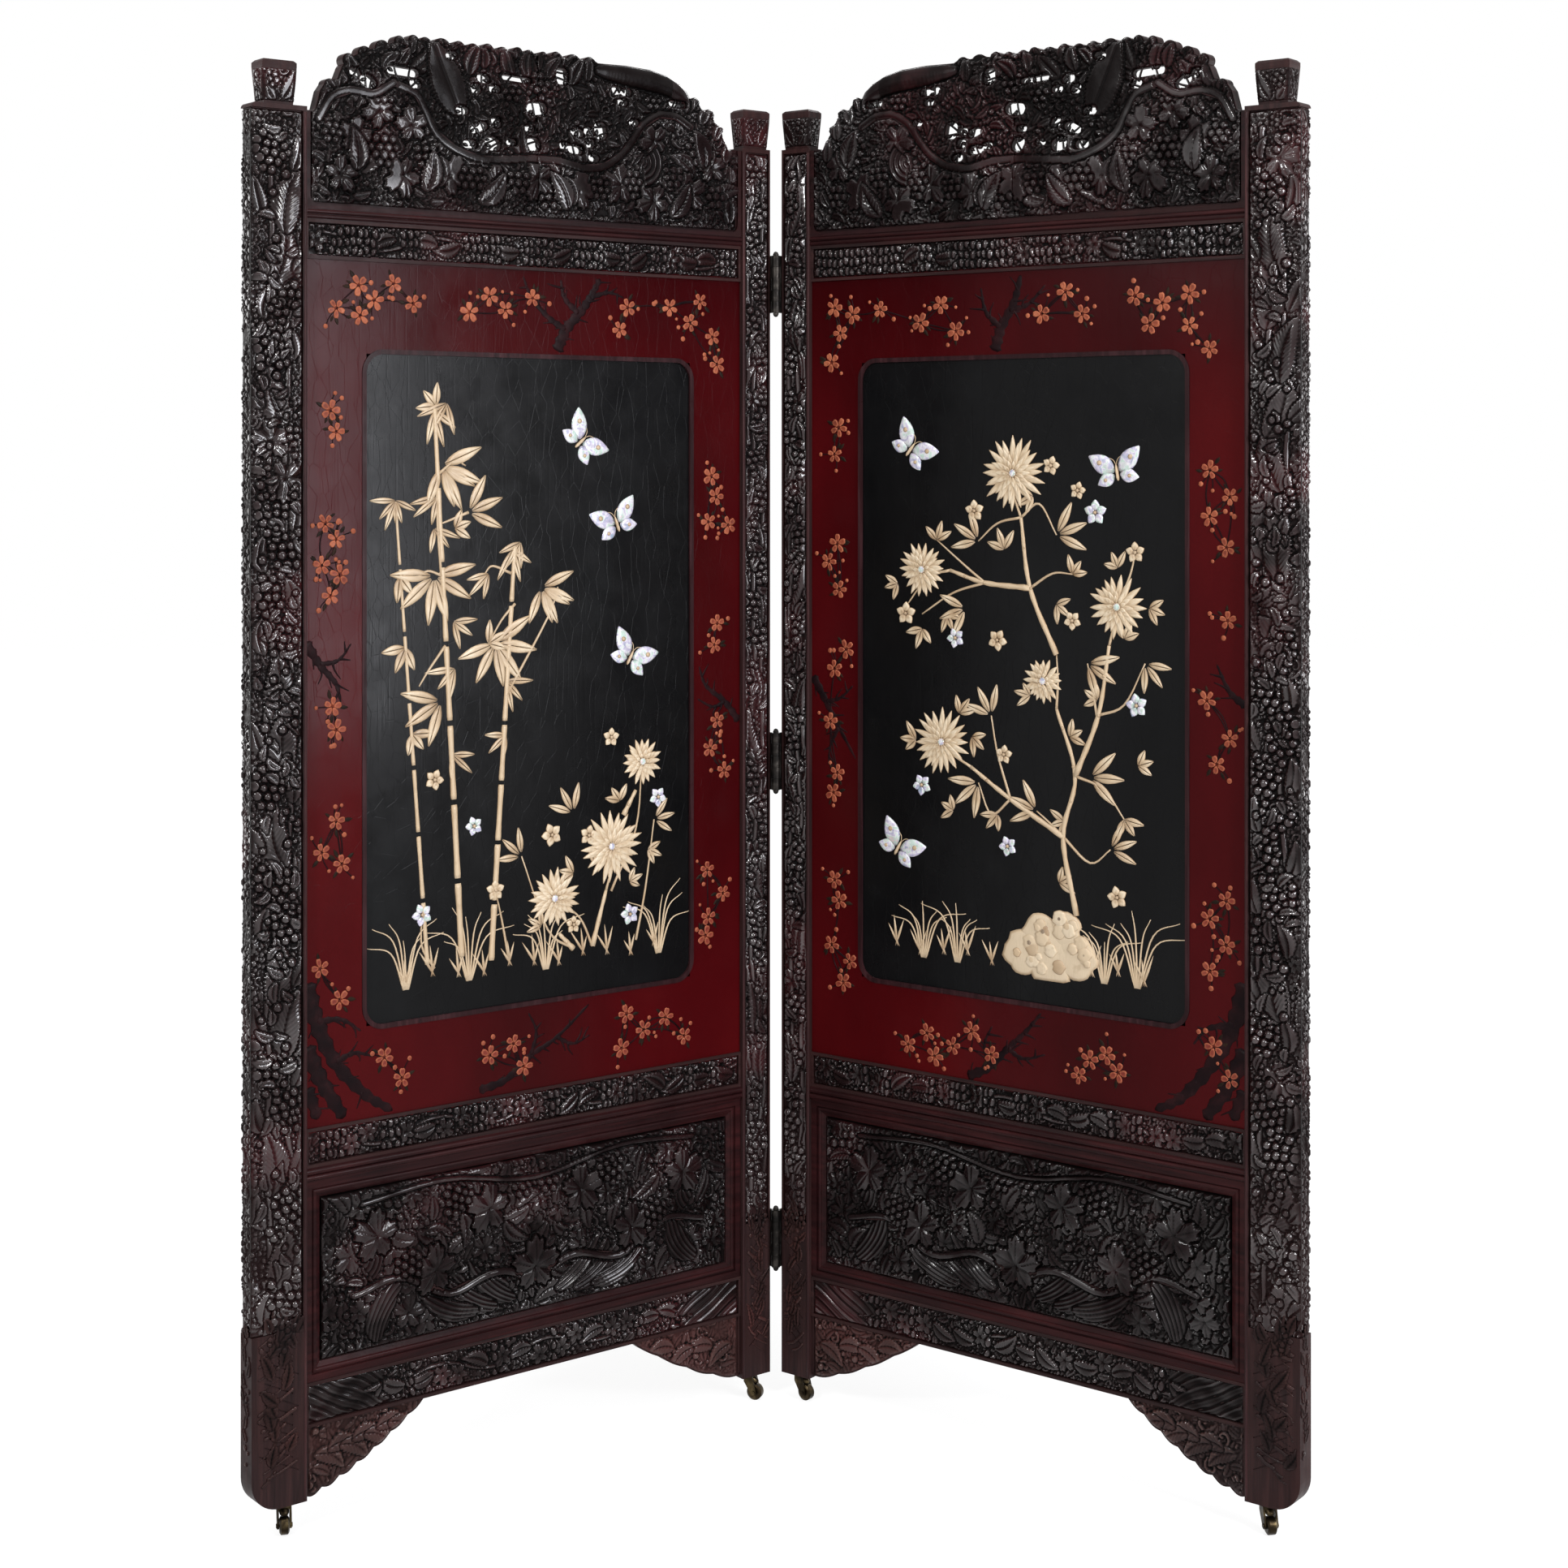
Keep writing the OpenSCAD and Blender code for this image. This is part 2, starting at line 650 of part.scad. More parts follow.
// The lower edge of a bracket, rising away from its post in scallops, and the bracket itself
module bracket(length, lobes, depth) {
    drop = arch_h - bracket_lift;
    steps = lobes * 8;
    upright(bracket_y, bracket_t) polygon(concat(
        [[0, 0], [length, 0]],
        [for (i = [steps:-1:0]) let (s = i / steps)
            [length * s, -drop * (1 - pow(s, 1.45)) - depth * abs(sin(180 * lobes * s)) * (1 - s * 0.4)]]
    ));
    upright(bracket_y - 2, 3) translate([0, 4 - drop]) square([rim_w, drop - 4]);
}

module inner_bracket() color(wood) translate([inner_x, 0, arch_z]) bracket(inner_bracket_w, 4, 3);
module outer_bracket() color(wood)
    translate([outer_x, 0, arch_z]) mirror([1, 0, 0]) bracket(outer_bracket_w, 7, 5);

// Inlay: the pictures are drawn from the middle of the black panel's lower edge, on a panel of
// 496 by 840, then fitted to its size
drawn_picture = [496, 840];

function fit(spot) = [spot[0] * picture_w / drawn_picture[0], spot[1] * picture_h / drawn_picture[1]];
function sized(r) = r * min(picture_w / drawn_picture[0], picture_h / drawn_picture[1]);

module inlay() translate([inner_x + span / 2, 0, field_z + border_end])
    upright(picture_y - inlay_t, inlay_t) children();

// Blooms: place, then radius and number of petals
right_blooms = [
    [-6, 690, 50, 14], [-150, 560, 38, 12], [150, 520, 42, 12], [-118, 330, 46, 14], [40, 420, 30, 10]
];
left_blooms = [[-120, 190, 50, 14], [-30, 130, 40, 12], [-170, 300, 32, 10]];

// Sprays of three leaves: place, turn and length
right_sprays = [
    [60, 610, 20, 44], [-60, 600, 150, 40], [-80, 510, 200, 40], [106, 446, -30, 44], [190, 450, -50, 34],
    [-40, 370, 120, 38], [-60, 280, 220, 44], [110, 300, 0, 46], [30, 250, 160, 40], [140, 210, 20, 36]
];
left_sprays = [
    [140, 700, 200, 60], [140, 700, 250, 52], [150, 560, -40, 60], [150, 560, 210, 58], [100, 640, 160, 50],
    [60, 470, 190, 60], [60, 470, -60, 54], [140, 400, -30, 56], [-10, 540, 200, 50], [-10, 540, 250, 46],
    [-60, 240, 60, 36], [-190, 220, 170, 30], [20, 190, 40, 34]
];

right_branches = [
    [[90, 120], [70, 220], [88, 300], [60, 385]],
    [[88, 300], [122, 380], [138, 470]],
    [[60, 455], [20, 540], [6, 632]],
    [[20, 540], [-50, 545], [-105, 560]],
    [[70, 220], [-10, 262], [-72, 300]]
];
left_branches = [[[-90, 60], [-112, 132]], [[-60, 60], [-38, 82]], [[-140, 230], [-160, 262]]];

// Bamboo stalks from foot to tip, and butterflies: place and turn
left_stalks = [[[110, 70], [150, 780]], [[66, 60], [30, 600]]];
right_butterflies = [[150, 690, 100], [-170, 720, 50]];
left_butterflies = [[-130, 620, 70], [-150, 440, 120]];

// The garden rock: its lumps and its hollows
rock_lumps = [[10, 64, 30], [50, 58, 36], [90, 66, 30], [36, 92, 26], [74, 100, 24]];
rock_hollows = [[32, 72, 8], [64, 84, 9], [80, 60, 7]];

// Grass along the ground: how far apart its blades stand, how high and how long they are
blade_step = 38;
blade_foot = 44;
blade_size = [30, 5];

// A butterfly's front and hind wings: turn from its body, length and width
wings = [[52, 44, 24], [108, 28, 18]];
body_end = [-9, 12];
bloom_eye = 7;

// Petals round an open middle
module petals(r, count, start) for (i = [0:count - 1])
    rotate(360 * i / count) translate([start, 0]) leaf(r - start, 1.3 * PI * (r + start) / count);

module spray(size) for (turn = [-42, 0, 42]) rotate(turn) translate([sized(5), 0]) leaf(size, size * 0.3);

module stalk(ends) {
    joints = 7;
    for (i = [0:joints - 1]) {
        reach = ends[1] - ends[0];
        bar(ends[0] + reach * i / joints, ends[0] + reach * (i + 0.9) / joints, sized(9 - i * 0.4));
    }
}

module rock() difference() {
    for (lump = rock_lumps) translate(fit(lump)) circle(sized(lump[2]));
    for (hollow = rock_hollows) translate(fit(hollow)) circle(sized(hollow[2]));
    translate([-picture_w / 2, -picture_h]) square([picture_w, picture_h + fit([0, 30])[1]]);
}

module grass(turn) for (i = [-5:5])
    translate(fit([blade_step * i, blade_foot + 5 * sin(117 * i)])) rotate(turn)
        leaf(sized(blade_size[0]), sized(blade_size[1]));

module butterfly_wings() for (side = [-1, 1], wing = wings)
    rotate(side * wing[0]) translate([sized(5), 0]) leaf(sized(wing[1]), sized(wing[2]));

module bone(blooms, branches, sprays, butterflies, turn) {
    for (bloom = blooms) translate(fit(bloom)) petals(sized(bloom[2]), bloom[3], sized(bloom_eye + 2));
    for (points = branches) branch([for (spot = points) fit(spot)], sized(7), sized(4));
    for (spot = sprays) translate(fit(spot)) rotate(spot[2]) spray(sized(spot[3]));
    for (spot = butterflies) translate(fit(spot)) rotate(spot[2])
        bar([sized(body_end[0]), 0], [sized(body_end[1]), 0], sized(4));
    grass(turn);
}

module shell(blooms, butterflies) {
    for (bloom = blooms) translate(fit(bloom)) circle(sized(bloom_eye));
    for (spot = butterflies) translate(fit(spot)) rotate(spot[2]) butterfly_wings();
}

module right_bone_inlay() color("#dfc7a0") inlay() {
    bone(right_blooms, right_branches, right_sprays, right_butterflies, 8);
    rock();
}

module left_bone_inlay() color("#dfc7a0") inlay() {
    bone(left_blooms, left_branches, left_sprays, left_butterflies, -6);
    for (ends = left_stalks) stalk([for (spot = ends) fit(spot)]);
}

module right_shell_inlay() color("#d8dce4") inlay() shell(right_blooms, right_butterflies);
module left_shell_inlay() color("#d8dce4") inlay() shell(left_blooms, left_butterflies);

// Countersunk screws through the leaves, or their holes where gap is the clearance
module leaf_screws_at(level, gap = 0) for (spot = leaf_screws)
    translate([edge_gap - leaf_t, spot[0], level + spot[1] * leaf_h]) rotate([0, 90, 0]) {
        cylinder(r1 = screw_head_r + gap, r2 = screw_r + gap, h = 1.5);
        cylinder(r = screw_r + gap, h = screw_len + gap);
    }

function knuckle_foot(k) = k * knuckle_h - leaf_h / 2;

// One leaf with its own knuckles, first gives the lowest of them
module hinge_leaf(level, first) difference() {
    union() {
        block(edge_gap - leaf_t, edge_gap, 0, leaf_reach, level - leaf_h / 2, level + leaf_h / 2);
        for (k = [first:2:knuckles - 1]) translate([0, 0, level + knuckle_foot(k) + knuckle_gap / 2])
            cylinder(r = barrel_r, h = knuckle_h - knuckle_gap);
    }
    for (k = [1 - first:2:knuckles - 1]) translate([0, 0, level + knuckle_foot(k) - knuckle_gap / 2])
        cylinder(r = barrel_r + swing_gap, h = knuckle_h + knuckle_gap);
    translate([0, 0, level - leaf_h]) cylinder(r = pin_r + run_gap, h = 2 * leaf_h);
    leaf_screws_at(level, run_gap);
}

module left_hinge_leaves() color(iron) for (level = hinge_levels) hinge_leaf(level, 1);
module right_hinge_leaves() color(iron) for (level = hinge_levels) hinge_leaf(level, 0);

module hinge_pins() color(iron) for (level = hinge_levels) translate([0, 0, level]) {
    cylinder(r = pin_r, h = leaf_h + 2 * knuckle_gap, center = true);
    for (end = [-1, 1]) translate([0, 0, end * (leaf_h / 2 + knuckle_gap + 1)]) {
        cylinder(r = pin_r + 1.5, h = 2, center = true);
        translate([0, 0, end]) intersection() {
            sphere(pin_r + 1);
            translate([-far / 2, -far / 2, end > 0 ? 0 : -far]) cube(far);
        }
    }
}

module screws() color(iron) {
    for (level = hinge_levels) leaf_screws_at(level);
    for (x = [inner_mid, outer_caster_x]) translate([x, mid_y, foot_z]) at_plate_screws() plate_screw(0);
}

module plate_screw(gap) translate([0, 0, -plate_t]) {
    cylinder(r1 = plate_screw_head_r + gap, r2 = plate_screw_r + gap, h = 1);
    cylinder(r = plate_screw_r + gap, h = plate_t + plate_screw_len - 1);
}

// Round plate with a socket let into the post
module caster_plate() difference() {
    union() {
        translate([0, 0, -plate_t]) cylinder(r = plate_r, h = plate_t);
        cylinder(r = socket_r, h = socket_len);
    }
    translate([0, 0, -plate_t - 1]) cylinder(r = stem_r + run_gap, h = far);
    at_plate_screws() plate_screw(run_gap);
}

module caster_plates() color(brass)
    for (x = [inner_mid, outer_caster_x]) translate([x, mid_y, foot_z]) caster_plate();

module at_axle() translate([trail, 0, wheel_d / 2]) rotate([90, 0, 0]) children();

// Outline of a fork's arm from the crown down to the axle
module arm_outline() {
    eye_r = axle_r + 2.7;
    polygon([
        [-6, crown_z], [6.5, crown_z], [trail + eye_r, wheel_d / 2 + 1],
        [trail + eye_r * 0.6, wheel_d / 2 - eye_r * 0.8], [trail - eye_r * 0.9, wheel_d / 2 - eye_r * 0.4],
        [-6, crown_z - 7]
    ]);
    translate([trail, wheel_d / 2]) circle(eye_r);
}

module caster_fork() color(brass) difference() {
    union() {
        for (side = [-1, 1]) upright(side * (fork_w - arm_t) / 2 - arm_t / 2, arm_t) arm_outline();
        block(-6, 6.5, -fork_w / 2, fork_w / 2, crown_z - crown_t - 1, crown_z);
        translate([0, 0, crown_z - crown_t]) cylinder(r = 7.5, h = crown_t);
        translate([0, 0, crown_z - crown_t])
            cylinder(r = stem_r, h = foot_z + socket_len - crown_z + crown_t);
    }
    at_axle() cylinder(r = axle_r + run_gap, h = far, center = true);
}

module caster_axle() color(brass) at_axle() {
    cylinder(r = axle_r, h = fork_w + 1, center = true);
    for (end = [-1, 1]) translate([0, 0, end * (fork_w / 2 + 0.5)])
        cylinder(r = axle_r + 1.2, h = 1, center = true);
}

module caster_wheel() color(brass) at_axle() rotate_extrude() {
    bore = axle_r + run_gap;
    r = wheel_d / 2;
    edge = 1.8;
    polygon([
        [bore, -wheel_w / 2], [r - edge - 1, -wheel_w / 2], [r, edge - wheel_w / 2],
        [r, wheel_w / 2 - edge], [r - edge - 1, wheel_w / 2], [bore, wheel_w / 2]
    ]);
}

// A caster piece under its post, turned to where its fork trails
module outer_caster(turn) translate([outer_caster_x, mid_y, 0]) rotate([0, 0, turn]) children();
module inner_caster(turn) translate([inner_mid, mid_y, 0]) rotate([0, 0, turn]) children();

left_side() outer_post();  // left_outer_post
left_side() inner_post();  // left_inner_post
left_side() finials();  // left_finials
left_side() crest();  // left_crest
left_side() crest_moulding();  // left_crest_moulding
left_side() upper_rail();  // left_upper_rail
left_side() lacquer_border();  // left_lacquer_border
left_side() picture_panel();  // left_picture_panel
left_side() picture_bead();  // left_picture_bead
left_side() back_panel();  // left_back_panel
left_side() back_beading();  // left_back_beading
left_side() left_bone_inlay();
left_side() left_shell_inlay();
left_side() lower_rail();  // left_lower_rail
left_side() rail_moulding();  // left_rail_moulding
left_side() panel_moulding();  // left_panel_moulding
left_side() carved_panel();  // left_carved_panel
left_side() bottom_rail();  // left_bottom_rail
left_side() outer_bracket();  // left_outer_bracket
left_side() inner_bracket();  // left_inner_bracket
left_side() left_hinge_leaves();
left_side() caster_plates();  // left_caster_plates
left_side() screws();  // left_screws
right_side() outer_post();  // right_outer_post
right_side() inner_post();  // right_inner_post
right_side() finials();  // right_finials
right_side() crest();  // right_crest
right_side() crest_moulding();  // right_crest_moulding
right_side() upper_rail();  // right_upper_rail
right_side() lacquer_border();  // right_lacquer_border
right_side() picture_panel();  // right_picture_panel
right_side() picture_bead();  // right_picture_bead
right_side() back_panel();  // right_back_panel
right_side() back_beading();  // right_back_beading
right_side() right_bone_inlay();
right_side() right_shell_inlay();
right_side() lower_rail();  // right_lower_rail
right_side() rail_moulding();  // right_rail_moulding
right_side() panel_moulding();  // right_panel_moulding
right_side() carved_panel();  // right_carved_panel
right_side() bottom_rail();  // right_bottom_rail
right_side() outer_bracket();  // right_outer_bracket
right_side() inner_bracket();  // right_inner_bracket
right_side() right_hinge_leaves();
right_side() caster_plates();  // right_caster_plates
right_side() screws();  // right_screws
left_side() hinge_pins();
left_side() outer_caster(left_outer_turn) caster_fork();  // left_outer_fork
left_side() inner_caster(left_inner_turn) caster_fork();  // left_inner_fork
right_side() inner_caster(right_inner_turn) caster_fork();  // right_inner_fork
right_side() outer_caster(right_outer_turn) caster_fork();  // right_outer_fork
left_side() outer_caster(left_outer_turn) caster_axle();  // left_outer_axle
left_side() inner_caster(left_inner_turn) caster_axle();  // left_inner_axle
right_side() inner_caster(right_inner_turn) caster_axle();  // right_inner_axle
right_side() outer_caster(right_outer_turn) caster_axle();  // right_outer_axle
left_side() outer_caster(left_outer_turn) caster_wheel();  // left_outer_wheel
left_side() inner_caster(left_inner_turn) caster_wheel();  // left_inner_wheel
right_side() inner_caster(right_inner_turn) caster_wheel();  // right_inner_wheel
right_side() outer_caster(right_outer_turn) caster_wheel();  // right_outer_wheel
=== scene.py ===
import math

import bpy
import numpy as np
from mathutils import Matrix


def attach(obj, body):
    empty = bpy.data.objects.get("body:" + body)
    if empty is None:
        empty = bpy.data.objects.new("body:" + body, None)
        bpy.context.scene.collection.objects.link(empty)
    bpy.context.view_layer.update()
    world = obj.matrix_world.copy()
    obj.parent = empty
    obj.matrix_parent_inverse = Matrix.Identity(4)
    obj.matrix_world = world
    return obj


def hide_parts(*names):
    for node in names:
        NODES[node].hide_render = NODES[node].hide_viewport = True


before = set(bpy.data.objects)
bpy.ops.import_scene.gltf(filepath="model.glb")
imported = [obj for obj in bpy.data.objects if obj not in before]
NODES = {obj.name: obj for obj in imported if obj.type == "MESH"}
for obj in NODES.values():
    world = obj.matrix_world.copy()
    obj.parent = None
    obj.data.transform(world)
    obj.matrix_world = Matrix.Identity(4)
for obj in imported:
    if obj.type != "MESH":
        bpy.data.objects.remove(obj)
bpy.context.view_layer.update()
SIDES = ("left", "right")

# Layout of a panel in millimetres: x from the hinge pin outward, y from front to back, z up
PANEL_TURN = math.radians(37.5)
PIN_Y = 224.04
INNER_X, OUTER_X, END_X = 52.0, 718.0, 792.0
MIDDLE_X = (INNER_X + OUTER_X) / 2
FACE_Y, POST_MIDDLE_Y = 8.0, 23.0
FOOT_Z, ARCH_Z, LOWER_Z, BEAD_Z = 36.0, 123.0, 178.0, 425.0
LOWER_RAIL_Z, FIELD_Z, UPPER_RAIL_Z, CREST_Z = 442.0, 490.0, 1560.0, 1622.0
CREST_W = OUTER_X - INNER_X
POST_GROUND, RAIL_GROUND, PANEL_GROUND, CREST_GROUND, BRACKET_GROUND = 12.0, 16.0, 20.0, 14.0, 16.0
BORDER_Y, BORDER_W, BORDER_H = 15.0, 79.0, 109.0
PICTURE_Y, PICTURE_Z = 17.5, 605.0
CARVED_FROM, CARVED_TO = 251.0, 1739.0
FINIAL_HALF, FINIAL_DEEP, FINIAL_H, FINIAL_Z = 19.5, 12.0, 46.0, 1746.0
FINIALS = {"inner": 28.0, "outer": 755.0}
CASTERS = {"outer": 742.0, "inner": 28.0}
CASTER_TURNS = {"left": {"outer": -68, "inner": -122}, "right": {"inner": -2, "outer": -42}}

# Carving: the step of its grid, its bed over the ground, what lies below it, and how deep its solids go
GRID, CREST_GRID, FINIAL_GRID = 1.2, 1.35, 1.0
BED, LOW, SUNK = 0.3, -1.2, -1.5
# The attribute that carries depth and painted shade to the materials.
DEPTH = "depth_and_shade"
# A full turn: about, for random directions and ripples, and exactly
SPIN, CIRCLE = 6.28, 2 * math.pi


def to_world(side, points):
    """Panel millimetres to metres in the frame."""
    p = np.asarray(points, float).reshape(-1, 3)
    c, s = math.cos(PANEL_TURN), math.sin(PANEL_TURN)
    x = p[:, 0] * c + p[:, 1] * s
    y = -p[:, 0] * s + p[:, 1] * c + PIN_Y
    if side == "left":
        x = -x
    return np.stack([x, y, p[:, 2]], 1) / 1000


def make_piece(name, side, points, faces, material, replaces=None, depth=None, body=None):
    """A mesh drawn for the right panel and mirrored for the left. It rides on its panel or the named body."""
    mesh = bpy.data.meshes.new(name)
    if side == "left":
        faces = [tuple(reversed(f)) for f in faces]
    mesh.from_pydata(to_world(side, points).tolist(), [], faces)
    mesh.update()
    mesh.shade_smooth()
    mesh.materials.append(material)
    piece = bpy.data.objects.new(name, mesh)
    bpy.context.scene.collection.objects.link(piece)
    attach(piece, body or f"{side}_panel")
    if replaces:
        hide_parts(replaces)
    if depth is not None:
        shade = mesh.attributes.new(DEPTH, "FLOAT", "POINT")
        shade.data.foreach_set("value", np.asarray(depth, np.float32))


def rotated(a, b, turn):
    """Lengths along and across a direction, as lengths along x and z."""
    c, s = math.cos(turn), math.sin(turn)
    return a * c - b * s, a * s + b * c


def stepped(x, z, reach, turn):
    """The point that lies a distance from another, in a direction."""
    return x + reach * math.cos(turn), z + reach * math.sin(turn)


def disc(x, z, r, n=12):
    return [stepped(x, z, r, CIRCLE * i / n) for i in range(n)]


def tube_faces(rings, sides):
    """Faces between rings of points and over both ends."""
    faces = [
        (k * sides + i, (k + 1) * sides + i, (k + 1) * sides + (i + 1) % sides, k * sides + (i + 1) % sides)
        for k in range(rings - 1) for i in range(sides)
    ]
    return faces + [tuple(range(sides)), tuple((rings - 1) * sides + i for i in range(sides - 1, -1, -1))]


def leaf_width(t, width, early=0.85, full=0.9):
    """Half the width of a leaf at each share of its length."""
    return width / 2 * np.sin(math.pi * t ** early) ** full


def leaf_outline(x, z, length, width, turn, n=7):
    t = np.linspace(0.02, 0.98, n)
    w = leaf_width(t, width)
    a, b = rotated(np.concatenate([t * length, t[::-1] * length]), np.concatenate([-w, w[::-1]]), turn)
    return np.stack([x + a, z + b], 1)


class Drawing:
    """Collects closed shells into one mesh."""

    def __init__(self):
        self.points = []
        self.faces = []
        self.tones_and_shade = []

    def add(self, points, faces, tones_and_shade):
        start = len(self.points)
        self.points.extend([tuple(p) for p in points])
        self.faces.extend([tuple(i + start for i in f) for f in faces])
        self.tones_and_shade.extend(tones_and_shade)

    def pillow(self, outline, y, rises, tone=0.8, shade_from=None):
        """A closed shell over an outline in x and z, anticlockwise. rises: (share of the outline, height).
        tone is how pale it is; painted shade darkens its rim, and near the point given last, growing paler
        away from it."""
        outline = np.asarray(outline, float)
        n = len(outline)
        centre = outline.mean(0)
        points = [(p[0], y, p[1]) for p in outline]
        # Painted shade, darkest at the point given and paler away from it.
        pale = np.ones(n)
        if shade_from is not None:
            away = np.hypot(*(outline - np.asarray(shade_from, float)).T)
            pale = 0.45 + 0.55 * away / max(away.max(), 1e-6)
        # Painted shade: the rim and the first ring darker than the middle.
        tones_and_shade = [0.1] * n
        for k, (share, rise) in enumerate(rises):
            ring = centre + (outline - centre) * share
            points += [(p[0], y - rise, p[1]) for p in ring]
            tones_and_shade += list(np.clip(pale * tone * (0.45 if k == 0 else 1.0), 0, 1))
        faces = [tuple(range(n - 1, -1, -1))]
        for a in range(0, len(rises) * n, n):
            faces += [(a + i, a + (i + 1) % n, a + n + (i + 1) % n, a + n + i) for i in range(n)]
        faces.append(tuple(len(rises) * n + i for i in range(n)))
        self.add(points, faces, tones_and_shade)

    def tube(self, path, radii, y, flat=1.0, sides=8, tone=0.6):
        """A closed tube along points in x and z, its middle lying at y. flat is its depth as a share of its
        width."""
        path = np.asarray(path, float)
        along = np.gradient(path, axis=0)
        along /= np.maximum(np.linalg.norm(along, axis=1), 1e-6)[:, None]
        points = []
        for spot, ahead, radius in zip(path, along, radii):
            for i in range(sides):
                angle = CIRCLE * i / sides
                u, v = math.cos(angle) * radius, math.sin(angle) * radius * flat
                points.append((spot[0] - ahead[1] * u, y - v, spot[1] + ahead[0] * u))
        # Painted shade: darker on the flanks and back of the tube.
        tones_and_shade = [tone * (0.35 + 0.65 * max(0.0, math.sin(CIRCLE * i / sides))) for i in range(sides)]
        self.add(points, tube_faces(len(path), sides), tones_and_shade * len(path))

    def line(self, points, first, last, steps, *shape):
        """A tube along a smooth curve, from its first radius to its last."""
        path = smooth_path(points, steps)
        self.tube(path, np.linspace(first, last, len(path)), *shape)


def drawn_piece(name, side, drawing, material, shaded=False, replaces=None):
    depth = drawing.tones_and_shade if shaded else None
    make_piece(f"{side}_{name}", side, drawing.points, drawing.faces, material, replaces, depth)


def smooth_path(points, steps=6):
    """Points on a Catmull-Rom curve through the given ones."""
    p = np.asarray(points, float)
    p = np.vstack([2 * p[0] - p[1], p, 2 * p[-1] - p[-2]])
    out = []
    for a, b, c, d in zip(p, p[1:], p[2:], p[3:]):
        for t in np.linspace(0, 1, steps, endpoint=False):
            bend = (2 * a - 5 * b + 4 * c - d) * t ** 2 + (3 * b - a - 3 * c + d) * t ** 3
            out.append(0.5 * (2 * b + (c - a) * t + bend))
    out.append(p[-2])
    return np.array(out)


# Materials


def rgb(code):
    """Scene-linear colour of a written one."""
    out = []
    for i in (1, 3, 5):
        v = int(code[i:i + 2], 16) / 255
        out.append(v / 12.92 if v <= 0.04045 else ((v + 0.055) / 1.055) ** 2.4)
    return (*out, 1.0)


def add_node(tree, kind, inputs=(), **settings):
    """A shader node. An input is a number, a written colour or another node's output."""
    node = tree.nodes.new("ShaderNode" + kind)
    for key, value in settings.items():
        setattr(node, key, value)
    for key, value in dict(inputs).items():
        if isinstance(value, bpy.types.NodeSocket):
            tree.links.new(value, node.inputs[key])
        else:
            node.inputs[key].default_value = rgb(value) if isinstance(value, str) else value
    return node


def add_span(tree, value, low, high, to_low, to_high, **settings):
    limits = {"From Min": low, "From Max": high, "To Min": to_low, "To Max": to_high}
    return add_node(tree, "MapRange", {"Value": value, **limits}, **settings).outputs["Result"]


class Surface:
    """Builds a procedural material node by node."""

    def __init__(self, name, specular=0.5, coat=0.0, coat_roughness=0.2, metallic=0.0, side=None):
        self.material = bpy.data.materials.new(name)
        self.material.use_nodes = True
        self.tree = self.material.node_tree
        self.shader = self.tree.nodes["Principled BSDF"]
        for key, value in (
            ("Specular IOR Level", specular), ("Coat Weight", coat), ("Coat Roughness", coat_roughness),
            ("Metallic", metallic),
        ):
            self.shader.inputs[key].default_value = value
        turn = {"right": PANEL_TURN, "left": -PANEL_TURN, None: 0.0}[side]
        place = self.add("TexCoord").outputs["Object"]
        self.place = self.add("Mapping", {"Vector": place, "Rotation": (0, 0, turn)}).outputs["Vector"]

    def add(self, kind, inputs=(), **settings):
        return add_node(self.tree, kind, inputs, **settings)

    def stretched(self, stretch):
        return self.add("Mapping", {"Vector": self.place, "Scale": stretch}).outputs["Vector"]

    def noise(self, scale, detail=4.0, stretch=(1, 1, 1), rough=0.55, warp=0.0):
        inputs = {"Scale": scale, "Detail": detail, "Roughness": rough, "Distortion": warp}
        return self.add("TexNoise", {"Vector": self.stretched(stretch), **inputs}).outputs["Fac"]

    def crackle(self, scale, stretch):
        inputs = {"Scale": scale, "Vector": self.stretched(stretch)}
        return self.add("TexVoronoi", inputs, feature="DISTANCE_TO_EDGE").outputs["Distance"]

    def height_band(self):
        """The level over the floor in metres."""
        return self.add("SeparateXYZ", {"Vector": self.place}).outputs["Z"]

    def depth(self):
        """How far a place of the carving stands out of its hollows, from 0 to 1, with painted shade laid in;
        on drawn pieces, their tone with painted shade.
        """
        return self.add("Attribute", attribute_name=DEPTH).outputs["Fac"]

    def ramp(self, value, *stops):
        node = self.add("ValToRGB", {"Fac": value})
        bar = node.color_ramp
        while len(bar.elements) < len(stops):
            bar.elements.new(0.5)
        for element, (at, colour) in zip(bar.elements, stops):
            element.position = at
            element.color = rgb(colour)
        return node.outputs["Color"]

    def span(self, value, low, high, to_low, to_high):
        return add_span(self.tree, value, low, high, to_low, to_high)

    def mix(self, share, a, b):
        return self.add("Mix", {0: share, 6: a, 7: b}, data_type="RGBA").outputs[2]

    def patch(self, scale, detail, low, high, most, base, colour, stretch=(1, 1, 1)):
        """Lays a colour over the base where a noise rises."""
        return self.mix(self.span(self.noise(scale, detail, stretch), low, high, 0.0, most), base, colour)

    def times(self, a, b):
        return self.add("Math", {0: a, 1: b}, operation="MULTIPLY").outputs[0]

    def edges(self, low, high):
        """Rises from 0 in hollows to 1 on sharp edges."""
        return self.span(self.add("NewGeometry").outputs["Pointiness"], low, high, 0.0, 1.0)

    def finish(self, colour, roughness, *bumps):
        """Links colour and roughness and lays bumps over each other. Each bump: (height, metres)."""
        links = {"Base Color": colour, "Roughness": roughness}
        for height, distance in bumps:
            inputs = {"Strength": 1.0, "Distance": distance, "Height": height}
            if "Normal" in links:
                inputs["Normal"] = links["Normal"]
            links["Normal"] = self.add("Bump", inputs).outputs["Normal"]
        for key, value in links.items():
            self.tree.links.new(value, self.shader.inputs[key])
        return self.material


LENGTHWAYS, UPRIGHT = (0.05, 1, 1), (1, 1, 0.05)


